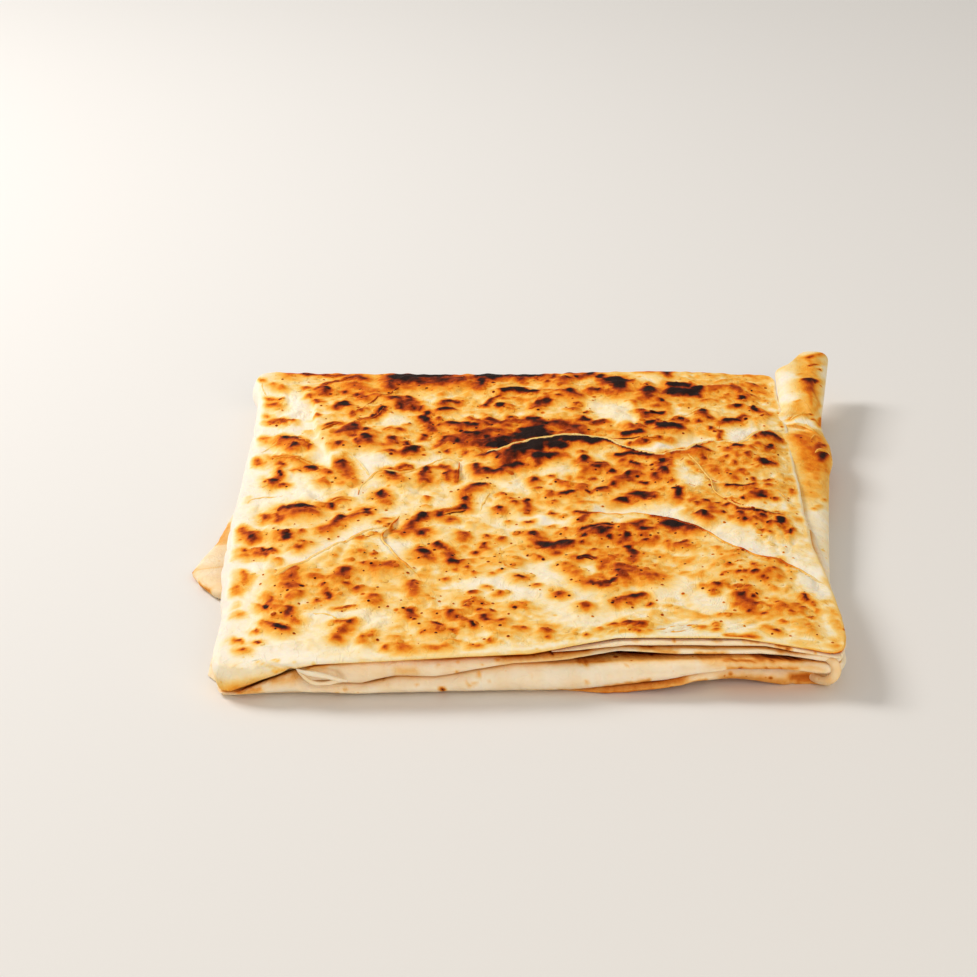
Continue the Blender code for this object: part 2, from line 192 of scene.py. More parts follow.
# Toasted places on the hem at the front, and painted shade along its creases: heat, width, and a path like
# that.
HEM_MARKS = [
    (30, 0.4, -79, 12.6, -75.2, 11.2, -71, 9.9), (40, 0.6, -74, 9.5, -71, 9.7),
    (34, 3.0, -90.5, 4.0, -86.5, 3.6), (40, 0.3, -74.4, 13.4, -72.6, 12.8),
]

# The edges of the folds under the sheet, each walked with its raised side on the left hand: its points,
# how high it stands, how deep the hollow beside it is, and how pale and how wide that hollow stays.
LONG_OVERLAP = [
    (90, -64.5), (84.5, -59), (80, -53), (77, -49.5), (73, -46.5), (68, -43.5), (62.5, -37.5), (57.5, -32),
    (53, -25.5), (48, -22), (44, -18.5), (39.5, -16), (35.5, -14.5), (30, -14.3), (23, -13.6), (15, -10),
]
CHARRED_OVERLAP = [
    (88.5, 56), (84, 55), (78.5, 50), (74.5, 46), (71.5, 42), (69, 40.5), (67, 43.3), (64.5, 44.3),
    (60, 42.4), (56.2, 38.6), (53.4, 34.9), (51.5, 34.6), (47.5, 33.9), (45, 31.2), (39.4, 33.5),
    (34, 36.7), (28.7, 41.4), (25, 43.8), (18, 46.5), (11.8, 47.1), (4.5, 43.8), (-1.7, 41.2), (-7.4, 36),
    (-13, 38),
]
FRONT_OVERLAP = [
    (-43, -22.2), (-47, -25), (-51.5, -28.7), (-55, -35.2), (-58.8, -38.8), (-62.5, -42.4), (-66, -47),
    (-69, -50.5), (-73.3, -54), (-77, -58.5),
]
MIDDLE_LOBE = [
    (-33.5, -56.5), (-37.5, -50.5), (-41, -45), (-42.2, -39.7), (-45.2, -35), (-45.2, -29.5), (-43, -23),
    (-40, -12),
]
LEFT_LOBE = [
    (-22.4, 12), (-21.8, 20.7), (-21.3, 29), (-24.7, 32), (-27.2, 31.5), (-31.2, 27), (-36, 22),
    (-41, 18.6), (-46.8, 21.6), (-50.6, 16.2), (-53, 10.4), (-54, 3.6),
]
LEFT_VALLEY = [(-72.8, 88), (-71.8, 71), (-69.4, 53.3), (-66.5, 43.4), (-65, 36.2), (-63.1, 20.8)]
RIGHT_LOBE = [
    (82, -12), (78, -11.5), (72.6, -9.8), (69, -7.2), (66.2, -6.3), (63.4, -0.3), (61.5, 2.3), (59.7, 7.6),
    (59, 14.8), (56.4, 23), (53, 32),
]
RIM_FOLD = [(84, -20), (87, -8), (84, -2), (82.2, 3.2), (79.7, 6.7), (77.7, 8.5)]
OVERLAPS = [
    (LONG_OVERLAP, 1.7, 0.8, 0.9, 9.0),
    (CHARRED_OVERLAP, 2.0, 1.2, 0.9, 5.0),
    (FRONT_OVERLAP, 1.3, 0.8, 0.8, 8.0),
    (MIDDLE_LOBE, 0.9, 0.5, 0.0, 4.0),
    (LEFT_LOBE, 0.7, 0.5, 0.5, 4.0),
    (LEFT_VALLEY, 1.2, 0.8, 0.7, 6.0),
    (RIGHT_LOBE, 0.8, 0.5, 0.3, 3.5),
    (RIM_FOLD, 0.5, 0.4, 0.3, 3.0),
]
STEP_WIDTH = 1.2
STEP_FADE = 22.0
HOLLOW_FADE = 9.0
STEP_END = 10.0
CLEAN_WIDTH = 3.0  # how far below a step the sheet was kept off the plate
PALE_HEAT = 0.08

# The sheet's own lumps, in layers of (height, size across, seed).
HEM_WAVER = ((0.35, 11, 2.2), (0.2, 4, 5.1))
SWELLS = ((1.0, 17, 4.7), (0.5, 8.5, 9.4))
SWELL_HEIGHT = 0.75
SKIN_WRINKLES = ((0.14, 3.6, 21.0), (0.10, 1.8, 22.0))
CLOUDS = ((0.10, 23, 7.7), (0.08, 9, 12.5))
MARK_JOG_X = ((1.0, 5.0, 3.3), (0.7, 2.1, 6.1), (0.35, 1.1, 6.7))
MARK_JOG_Y = ((1.2, 5.5, 8.3), (0.8, 2.4, 1.7), (0.4, 1.3, 2.9))
EDGE_JOG_X = ((0.45, 7.0, 3.3),)
EDGE_JOG_Y = ((0.5, 8.0, 8.3), (0.25, 3, 8.9))

# How marks are drawn: where the face rises above the level they are laid out on, they shift back.
LAID_OUT_AT = 14.0
RISE_SHIFT = 2.26
PLAIN_HEAT = 0.32
HARDER_AT_BACK = 0.0004
HARDER_AT_RIGHT = 0.0015
WASH_CORE = 0.62  # the share of a wash's width that it fills evenly
CORE_SIZE, CORE_BLUR, CORE_FALL = 1.22, 0.45, 2.2  # a mark's dark core
HALO_SIZE, HALO_BLUR, HALO_FALL = 1.75, 1.7, 1.6  # and the toasted ring round it
HALO_SHARE, HALO_MOST = 0.92, 0.74
SHARPER_BEHIND = 0.22
LOWER_FADE = 0.26
LONG_MARK = 2.5
MERGING = 5  # the power that lets marks run into each other

# How baked the face is in broad washes, one row each: heat in hundredths, width, and a path of points.
WASHES = [
    (44, 26, -72, 102, -58, 96), (46, 20, -62, 84, -60, 68), (48, 24, -50, 52, -30, 46),
    (42, 26, -12, 82, 10, 92), (48, 20, 60, 92, 74, 90), (58, 18, -20, 52, 16, 58),
    (52, 16, 28, 62, 42, 64), (52, 20, 26, 16, 44, 24), (46, 26, 4, 2, 34, 6), (46, 24, 62, 34, 80, 40),
    (46, 22, 74, 22, 76, 8), (50, 14, 58, -2, 58, -6), (52, 14, 68, -16, 80, -16),
    (46, 16, -80, -13, -62, -8), (44, 18, -86, -30, -76, -28), (50, 18, 6, -34, 32, -34),
    (52, 18, 22, -54, 38, -54), (46, 22, -26, -48, -4, -46), (44, 26, -50, -50, -44, -58),
    (50, 16, -72, -58, -70, -64), (48, 18, -78, -74, -68, -84), (44, 20, -62, -66, -54, -62),
    (46, 14, -34, -62, -34, -68), (44, 22, -28, -88, -10, -82), (40, 18, -36, -104, -26, -104),
    (42, 14, 4, -94, 28, -90), (44, 20, 56, -62, 72, -58), (44, 14, 64, -72, 66, -80),
    (40, 16, 78, -78, 86, -86), (40, 20, 44, -42, 60, -46), (40, 16, -80, 48, -76, 44),
    (38, 14, -84, 66, -80, 64), (40, 14, -72, 26, -66, 24), (36, 10, -86, 80, -86, 76),
    (46, 12, -60, 26, -58, 18), (40, 12, -28, 22, -30, 14), (8, 13, -80, 82, -79, 66),
    (10, 8, -84, 57, -74, 57), (8, 6, -66, 42, -63, 22), (8, 8, -52, 30, -48, 20), (10, 7, -52, 12, -52, 2),
    (14, 16, -82, 18, -76, 8), (12, 12, -84, 0, -70, 2), (8, 12, -62, -34, -76, -50),
    (10, 12, -86, -48, -84, -64), (10, 7, -41, -34, -37, -52), (28, 12, -32, 97, -24, 100),
    (16, 9, -45, 70, -42, 62), (14, 7, -34, 46, -32, 42), (12, 6, -46, 31, -32, 33), (6, 9, 38, 42, 58, 46),
    (6, 8, 68, 48, 74, 58), (14, 12, 27, 86, 33, 70), (24, 8, 38, 105, 48, 104), (42, 12, 62, 105, 86, 102),
    (16, 10, -14, 14, 2, 12), (14, 5, -15, 7, -17, -4), (16, 8, 4, 25, 12, 22), (22, 9, 20, 38, 26, 36),
    (14, 7, 53, 24, 54, 12), (7, 12, -91, 104, -92, 40), (7, 11, -93, 34, -93, -58),
    (7, 15, -92, -66, -90, -104), (8, 10, -84, -108, -62, -109), (16, 8, -56, -110, -20, -111, 14, -107),
    (18, 6, 26, -100, 60, -98, 72, -99), (34, 8, 84, -104, 89, -84, 86, -70), (36, 5, 89, 48, 88, 100),
    (38, 9, 88, 40, 88, -18), (26, 7, 89, -22, 89, -56), (56, 7, 50, 33, 57, 31), (40, 6, 86, 104, 60, 108),
    (8, 9, 2, -15, 12, -16), (6, 8, 26, -8, 44, -9), (6, 8, 56, -24, 70, -38), (6, 7, 76, -44, 86, -56),
    (8, 6, 84, -62, 88, -70), (12, 6, 73, -5, 78, -6), (20, 10, 62, -22, 66, -26), (6, 5, 17, -49, 17, -54),
    (12, 12, -4, -60, 6, -54), (10, 12, -14, -63, -2, -66), (16, 10, 40, -66, 46, -64),
    (14, 9, 54, -72, 54, -76), (12, 9, 42, -94, 58, -92), (12, 14, -82, -92, -72, -106),
    (16, 9, -64, -86, -60, -84), (16, 10, -52, -84, -46, -88), (20, 12, -62, -100, -54, -104),
    (16, 9, 12, -84, 18, -88), (12, 8, -88, -100, -88, -60), (12, 7, -88, 20, -88, 100),
    (22, 8, 20, -82, 30, -82), (46, 9, -66, 107, -30, 107), (46, 9, 0, 107, 30, 107),
    (46, 10, -36, 93, -30, 92), (54, 9, -1, 33, 10, 32), (50, 8, -12, 21, -8, 20), (46, 9, 43, 80, 46, 78),
    (44, 9, 66, 68, 70, 66), (46, 8, 55, 31, 56, 20), (44, 8, -23, -52, -20, -54),
    (30, 10, 78, 20, 78, -30), (8, 9, -90, -112, -72, -112), (8, 12, -88, -20, -88, -58),
]

# The scorch marks where the sheet lay on the hot plate, one row each: heat in hundredths, width, and the
# points of the mark: one for a dot, more for a streak. They are grouped by where they lie.
LEFT_SCORCHES = [
    (62, 1.2, -91.5, 101.5), (58, 5, -82, 107), (72, 1.2, -80, 109, -75, 107), (58, 3, -84.5, 95),
    (52, 2, -87, 98), (76, 1.8, -75.5, 95.5), (70, 1.4, -71.5, 93, -69.5, 98, -66, 101.5, -60, 103.5),
    (90, 4, -68.5, 93, -68.5, 90), (82, 2.4, -62, 90.5), (80, 2.8, -57.5, 88), (68, 5, -55, 84),
    (70, 4, -58, 105, -56, 103), (58, 7, -60, 97, -53, 91), (72, 1, -73.5, 88.5, -73.5, 87),
    (82, 1.4, -71.3, 83, -70.6, 80), (95, 4, -61.5, 77.5, -61, 76.5), (76, 1.8, -64, 75),
    (62, 3.6, -86.5, 79), (60, 1.6, -89, 83, -85, 84.5), (60, 1.5, -88, 69, -88.5, 67.5),
    (70, 1.6, -85.5, 63, -84, 65.6, -82, 66.4, -79, 66), (68, 1.2, -82, 64, -82, 62.5),
    (86, 2.6, -81, 50, -78.5, 51.5, -76, 50.8), (66, 3, -82, 46, -80, 49, -75, 49, -72, 45),
    (86, 3.2, -77, 44.4, -77, 42), (80, 1.6, -71.6, 45, -72, 43.6), (58, 3, -87.5, 48.5),
    (70, 1.2, -66.5, 58, -65, 60.4, -62, 60.4), (66, 1, -71.8, 58, -71, 56), (76, 1, -70.5, 68),
    (74, 1, -58, 70.5, -58, 67.5), (72, 1.2, -55.5, 71.5),
    (84, 1.8, -60, 56, -57, 62, -52, 66.5, -49.6, 70, -48.2, 75), (82, 3, -57, 59, -57, 55.5),
    (86, 2, -53, 56.6, -53, 54.6), (70, 1.2, -46, 57.5), (76, 2.4, -42, 56), (62, 1.6, -39.5, 61),
    (72, 6, -44, 84, -40, 79), (94, 2.6, -39.4, 85, -38.6, 82.4), (84, 1.6, -46, 83, -44, 86),
    (74, 1.4, -42.5, 78, -42.5, 75.5), (74, 1.4, -38.4, 77.5, -38.2, 75), (74, 1.2, -35.5, 77, -35.5, 75),
    (86, 1.6, -48.2, 76.5, -48.4, 73.5), (90, 2, -33, 72.5, -33, 70),
    (90, 3, -34.6, 68, -32.6, 60, -31, 56), (80, 1.4, -29, 66), (86, 1.2, -29, 60.5),
    (82, 2.6, -27.5, 80, -25, 82, -22.5, 81), (88, 3, -28.6, 73, -25.6, 75.4),
    (92, 4, -25, 63, -21.4, 59, -16.5, 61.5), (90, 3, -19.5, 62.5), (72, 1, -18.5, 68, -12, 62.5),
    (86, 3, -12, 66, -8, 63, -1, 64), (80, 1.8, -8.5, 58, -7.5, 56), (92, 4.6, -52.5, 49, -51.8, 44),
    (80, 1.2, -56, 46.5, -55.6, 43), (76, 1.6, -57.6, 50), (88, 3.2, -44, 49, -44, 45),
    (86, 1.6, -39, 45.6, -39, 44), (64, 2, -47, 43.5), (82, 3.6, -62, 42.8),
    (90, 4.4, -36.6, 40.4, -37.6, 38.4), (72, 3, -40, 36.6), (76, 1.6, -45.4, 39, -43, 37.6),
    (84, 1.8, -28.6, 43, -27.6, 48, -26, 50.6), (68, 6, -24, 49, -21, 45),
    (78, 1.6, -22.5, 47, -22.6, 45.4), (80, 1.2, -25.5, 39.5), (86, 1.2, -33.2, 52, -33.8, 49.4),
    (68, 5, -62, 52, -58, 54), (84, 4, -44.4, 21.4, -43.6, 19), (66, 4, -42.6, 17.5, -41.6, 14.5),
    (78, 1.2, -46, 24.4, -44, 24.8), (78, 1.4, -41, 25.4, -39, 26.6, -37.4, 26),
    (88, 4, -60.6, 28, -59.4, 24), (66, 3, -58.4, 21, -55.6, 13), (92, 3.2, -71, 26.2, -69.6, 25.4),
    (62, 3, -83, 33, -79, 34.4, -74, 31, -68, 24.6, -65, 21.6), (66, 1.4, -88.6, 27, -88, 30),
    (78, 1.2, -75, 24), (80, 1.2, -80.5, 28.8), (90, 1.2, -80.2, 21, -80.2, 19),
    (60, 1.4, -80.6, 29, -80.4, 12), (97, 2.6, -82.2, 15, -82, 12.4), (82, 1.4, -78.4, 11.6),
    (84, 0.8, -64.5, 20), (64, 2.6, -66, 15.4, -64.8, 12.6), (82, 3.4, -32, 24, -33, 18, -32.6, 13.6),
    (72, 1.6, -28, 25, -25.6, 23.6, -25.2, 20), (76, 1.4, -26.2, 19.4, -26, 17),
    (70, 0.8, -22.8, 20, -22.6, 14.6), (91, 3.4, -46.6, 4.4, -46.2, 3.2), (62, 3.6, -46, 0, -45.4, -2.6),
    (60, 1.2, -31.5, 0.5), (60, 1.4, -32, -5), (58, 1.2, -91.5, 1, -91.5, -2),
]
BACK_SCORCHES = [
    (93, 4.4, -45, 104.4, -31, 106.4), (72, 9, -40, 100, -22, 102), (90, 4, -16, 105, -8, 106),
    (78, 5, -2, 105, 6, 106), (72, 0.9, -77, 107, -69, 106.2, -62, 106.2),
    (96, 5, -47, 104, -41, 102.6, -34, 106, -27, 107.6), (72, 5, -46.6, 100, -46.6, 95),
    (92, 4.4, -15, 107, -10, 106), (88, 3.6, -15, 101, -15.6, 94), (78, 4, -12, 103.4), (86, 3, -5, 106.4),
    (91, 4, 0, 106.6, 5, 106.8), (90, 3.2, -7, 91, -4, 93, -1, 92.4), (93, 3, 1.6, 91.4, 3.4, 91.4),
    (84, 0.8, -8.6, 88, -13.4, 79), (88, 1.6, -13.6, 78.6), (88, 2.6, -8, 79.6, -7.8, 78),
    (72, 1.2, -3, 85.5), (68, 1.2, -7, 85), (86, 1.6, -4.5, 68.4, -4.4, 66.8), (86, 3, 1.6, 66.4, 4, 67),
    (90, 3.4, 8, 82.6, 5.4, 80.4, 4.4, 77), (74, 2, 0, 101.4), (80, 1.2, 8.5, 101), (80, 1, 12, 104),
    (80, 2, 15.5, 103.6), (64, 4.6, 14, 101.5, 13.6, 98.6), (85, 1.6, 16, 108.4, 18, 108.6),
    (76, 1.2, 11, 106), (86, 2, 19, 105, 24, 108.2), (92, 2.6, 27, 105.4),
    (100, 7, 32.6, 102, 33.4, 94, 33, 92), (78, 3.6, 26, 92.6, 23, 91.6), (88, 3, 29, 102.6, 28.4, 99),
    (72, 2.4, 37, 101), (68, 1.4, 43, 97.4), (100, 6.6, 43.4, 92, 43, 86),
    (95, 1.6, 47.5, 83.4, 47.6, 81.8), (98, 5, 52, 97, 56, 97), (99, 7, 52, 91, 57, 90.6),
    (96, 4, 60, 94, 60, 88), (92, 5, 15.6, 91, 17.4, 88), (82, 2.6, 18.5, 81), (80, 1.4, 12, 86.5),
    (74, 2.4, 16.6, 75.6), (68, 1.2, 21.4, 73), (90, 2.2, 39.5, 111.6, 50, 111.4),
    (92, 2.4, 50.6, 109.6, 51, 106.6), (70, 3, 73, 97, 75, 92), (95, 3, 75.4, 86, 75.6, 85),
    (68, 1.4, 71, 89), (86, 2.4, 72.4, 78.4, 74, 78.2), (96, 2.2, 78.7, 76.4, 78.8, 74.8),
    (66, 2, 80, 74, 83, 70.6), (91, 3, 60.6, 74, 61, 69), (85, 1.8, 59, 64), (80, 2.4, 62.4, 67.4),
    (94, 3, 68.4, 65, 71.6, 66), (68, 2.4, 67, 63), (68, 2, 73, 67.6, 75, 69.4),
    (92, 3, 42, 71.4, 46.6, 72), (72, 1.8, 42, 68), (78, 1.4, 45.5, 65.5), (72, 2.4, 40, 73.4),
    (90, 2.6, 41.6, 63, 43.4, 63), (99, 6, 46.4, 60, 51.4, 59.4), (91, 2.2, 53.4, 66.6, 53.6, 64),
    (72, 1.6, 50.6, 66), (94, 3.2, 33, 54.4, 38.6, 55.4), (85, 1.3, 35, 46.6), (78, 1.2, 37.5, 47),
    (85, 2, 40, 48.6), (80, 1.3, 44.6, 50.2), (70, 1.2, 48, 49.4), (85, 1, 62.8, 59.4, 62.8, 57.6),
    (76, 0.7, 65.6, 56, 64.8, 49), (74, 1.6, 51.6, 42), (70, 1.6, 46.6, 38.4), (80, 9, 17, 60, 17.4, 55),
    (88, 2.6, 20, 67, 21, 65.6), (72, 2, 24, 63, 27, 65), (74, 7, 4, 63, 12, 63), (86, 2.4, 3, 66),
    (90, 1.4, 7.5, 61), (85, 1.3, 9, 56), (80, 1.4, 9, 53), (100, 8, -15, 46, -8, 47, 0, 52, 5, 54),
    (97, 5, -11, 43, -6, 45), (98, 5, 0, 57, 5, 58), (92, 3.4, -19.6, 53.6, -15.6, 53.4),
    (76, 7, -19, 50, -12, 56), (86, 1.6, -12.5, 51), (80, 1.4, -9.6, 56.6),
]
MIDDLE_SCORCHES = [
    (90, 2.4, -14.6, 34.6, -12.4, 36.6, -10, 35, -8, 32.6), (76, 1.2, -19.5, 37.6),
    (100, 7.6, -5.6, 28, -3.6, 33, 0, 37, 3, 40.4), (100, 5, -3, 35, 4, 37), (90, 5, 4, 31, 9, 32),
    (84, 4, -12, 22, -8, 21), (80, 5, -6, 24.6, -2, 25), (85, 3.2, -16.4, 27, -15.2, 20.4),
    (72, 2.4, -13, 22.6), (84, 3.6, -19.6, 5.4, -17.6, 7.4, -14.6, 10.6), (86, 2.4, -20, 1, -19.5, -4),
    (78, 1.3, -8, 3.6), (80, 1.3, -5, 0.4), (82, 1.5, -4, -3), (100, 6, 6, 43, 11, 45, 17, 44.6, 23, 42.6),
    (98, 5, 9, 39.6, 12, 39), (92, 1.8, 26, 42.6, 31, 39, 36, 34.4, 41, 32, 44, 29.6),
    (72, 2.4, 4, 33.6, 4, 26.6), (95, 3.4, 18.8, 29.6, 18.6, 27), (72, 0.9, 18.5, 34), (64, 1.4, 13, 32),
    (88, 2.4, 30, 31, 35, 32.4, 40, 31), (92, 2.6, 34.6, 26, 37, 21.6), (82, 2, 22.6, 26, 25, 25.6),
    (80, 2, 21.4, 23.4, 24, 22.8), (80, 1.2, 26.6, 23.4), (86, 2.6, 44.4, 27, 43.4, 21),
    (93, 3.4, 44.4, 20, 44.6, 17.6), (82, 2, 42, 16, 41.8, 12.6), (76, 1.3, 46.6, 12), (95, 3, 28.6, 19.6),
    (82, 1.3, 21.7, 15), (85, 2, 33, 16, 33.2, 13), (86, 2, 28, 10.5), (95, 2.4, 37.5, 10.6),
    (72, 5, 30, 14, 36, 17), (82, 2.6, 23.4, 7.4, 25, 7.8), (88, 1.3, 19.7, 6),
    (92, 3, 11.4, 4.2, 13.6, 5.2), (80, 1.4, 7.5, 5.6, 7.5, 3), (72, 1.2, 4, 8), (80, 2.4, 3, 15, 3, 13),
    (72, 1, 8.2, 17), (80, 1.2, 10.2, 13), (80, 1.2, 12.3, 12), (84, 5, 35, 2.6, 39, 1.4),
    (93, 3.4, 29, -1, 31.4, -1.4), (93, 2.4, 48.8, 6, 48.2, -1.4), (64, 5, 48, 33, 51, 33),
    (64, 1.6, 47.4, 31, 46.6, 26), (95, 4.2, 56.6, 36.4, 56.4, 33.4), (86, 1.6, 57, 40, 60.4, 42.6),
    (80, 1.3, 60.5, 35), (76, 0.8, 54, 36, 56, 39.4, 59, 42), (86, 1.2, 66, 31), (78, 1.2, 68, 26),
    (80, 1.6, 66.6, 36.6), (74, 0.9, 73.5, 34, 73.4, 31.6), (92, 2, 69, 39, 72, 38.8),
    (76, 1, 58.6, 30, 57.4, 25), (85, 1.3, 77, 46.6), (84, 4.2, 80, 49, 82.6, 47.6), (78, 1.8, 85, 46.4),
    (95, 2.8, 81.2, 40, 80.6, 37), (94, 3.6, 78, 28.4, 79, 27), (85, 1.3, 81.4, 26.4), (66, 1.6, 75.5, 29),
    (78, 1.2, 73.5, 15), (78, 1.2, 78, 14), (64, 1.2, 76, 23), (92, 2, 65, 10.6, 66, 10.4),
    (94, 2.2, 68, 10.8, 70.6, 10.2), (80, 1.6, 72.6, 11), (82, 1.2, 78, 10), (94, 2.4, 74.6, 2.4, 76, 1.8),
    (72, 4, 72.4, 4, 76, 4.4), (78, 1.4, 73.6, 7), (88, 1.2, 79.5, 0.2), (76, 1.2, 69, 2),
    (72, 1.2, 65.5, 1.6), (76, 1, 85.5, 6.6, 85.4, 3.6), (84, 1.4, 8.7, -2),
    (93, 2.6, -8.6, -6.6, -8.4, -10), (82, 2.6, 0, -1, 0, -7), (90, 1.3, 0.5, -9.4), (80, 1, 0.5, -17.5),
    (68, 1, -5.5, -17), (95, 2.2, -19.6, -5.6, -19.4, -7.6), (88, 2.2, -28, -9.6, -23, -8.6, -20, -7),
    (97, 2.8, -27.2, -11, -27, -13), (80, 2, -23.5, -15.5),
    (84, 3.2, -32.4, -12.6, -35, -17, -37.4, -22, -39, -25.4), (88, 2.4, -32, -13.4),
    (88, 2.6, -33, -26, -33, -27.4), (66, 4, -35, -24, -31.6, -24), (76, 2.8, -20, -26, -20, -30),
    (88, 1.5, -12, -28), (88, 1.2, -3, -26), (93, 1.4, -33, -36), (92, 2.8, -28, -35),
    (100, 4.8, -32, -40, -31.6, -43.4), (88, 2, -13, -33.6, -13, -36.4), (85, 1.3, -16, -39.6),
    (78, 3, -27.4, -34, -24.6, -40, -23.4, -45.6), (95, 2.8, -23.4, -47, -21.6, -47.6), (85, 1, -22, -52),
    (88, 1, -18.5, -50.5), (76, 1.2, -25.5, -58), (85, 0.9, -16.5, -54), (76, 2, -8, -31),
    (90, 4.2, 2, -26, 3, -29.6), (82, 1.4, 8, -10.4), (62, 1, 11, -13),
    (92, 1.6, 15.6, -10.6, 18.4, -11.4, 20, -13), (72, 2.6, 18.4, -15, 17, -19),
    (88, 1.4, 39.4, -16, 43, -18.6), (94, 6, 43.6, -22, 45.4, -24), (84, 5, 47, -24.4, 51, -26.8),
    (89, 1.8, 17, -24, 20, -23, 23, -22, 26, -22.6), (80, 5, 20, -26, 24, -27), (95, 1.4, 25, -25.6),
    (84, 2, 23, -28.4), (97, 1.4, 25.2, -30.2, 25.4, -32), (86, 1.8, 17.5, -28.6, 17.6, -30),
    (80, 1.2, 12, -24), (76, 1.2, 7.5, -21), (86, 5.6, 4, -34, 8, -36, 12, -34), (90, 1.4, 16.7, -34.2),
    (80, 1.4, 20.5, -38.5), (82, 1.6, 9, -41), (76, 1.3, 4, -43.5), (86, 3, 35.6, -25.4, 38, -26.4),
    (76, 4, 33, -23, 36, -21.6), (93, 3.4, 30.6, -30, 30.2, -33), (80, 2, 27.6, -34), (86, 1.2, 36.7, -34),
    (92, 3.4, 30.8, -38, 32, -41, 31.8, -46), (95, 2, 15.6, -45.4, 17.4, -44.2, 19.4, -45.2),
    (78, 1.2, 25.5, -44), (80, 1, 22.7, -50), (76, 6, 28, -51, 37, -57), (82, 2.6, 27, -54),
    (86, 3, 18.4, -61, 22, -62.4, 25.6, -60), (64, 3, 11.4, -49, 13.6, -55, 16, -60),
    (72, 2, 48, -35, 46, -38), (72, 1.4, 49, -38), (86, 0.9, 42.5, -36),
]
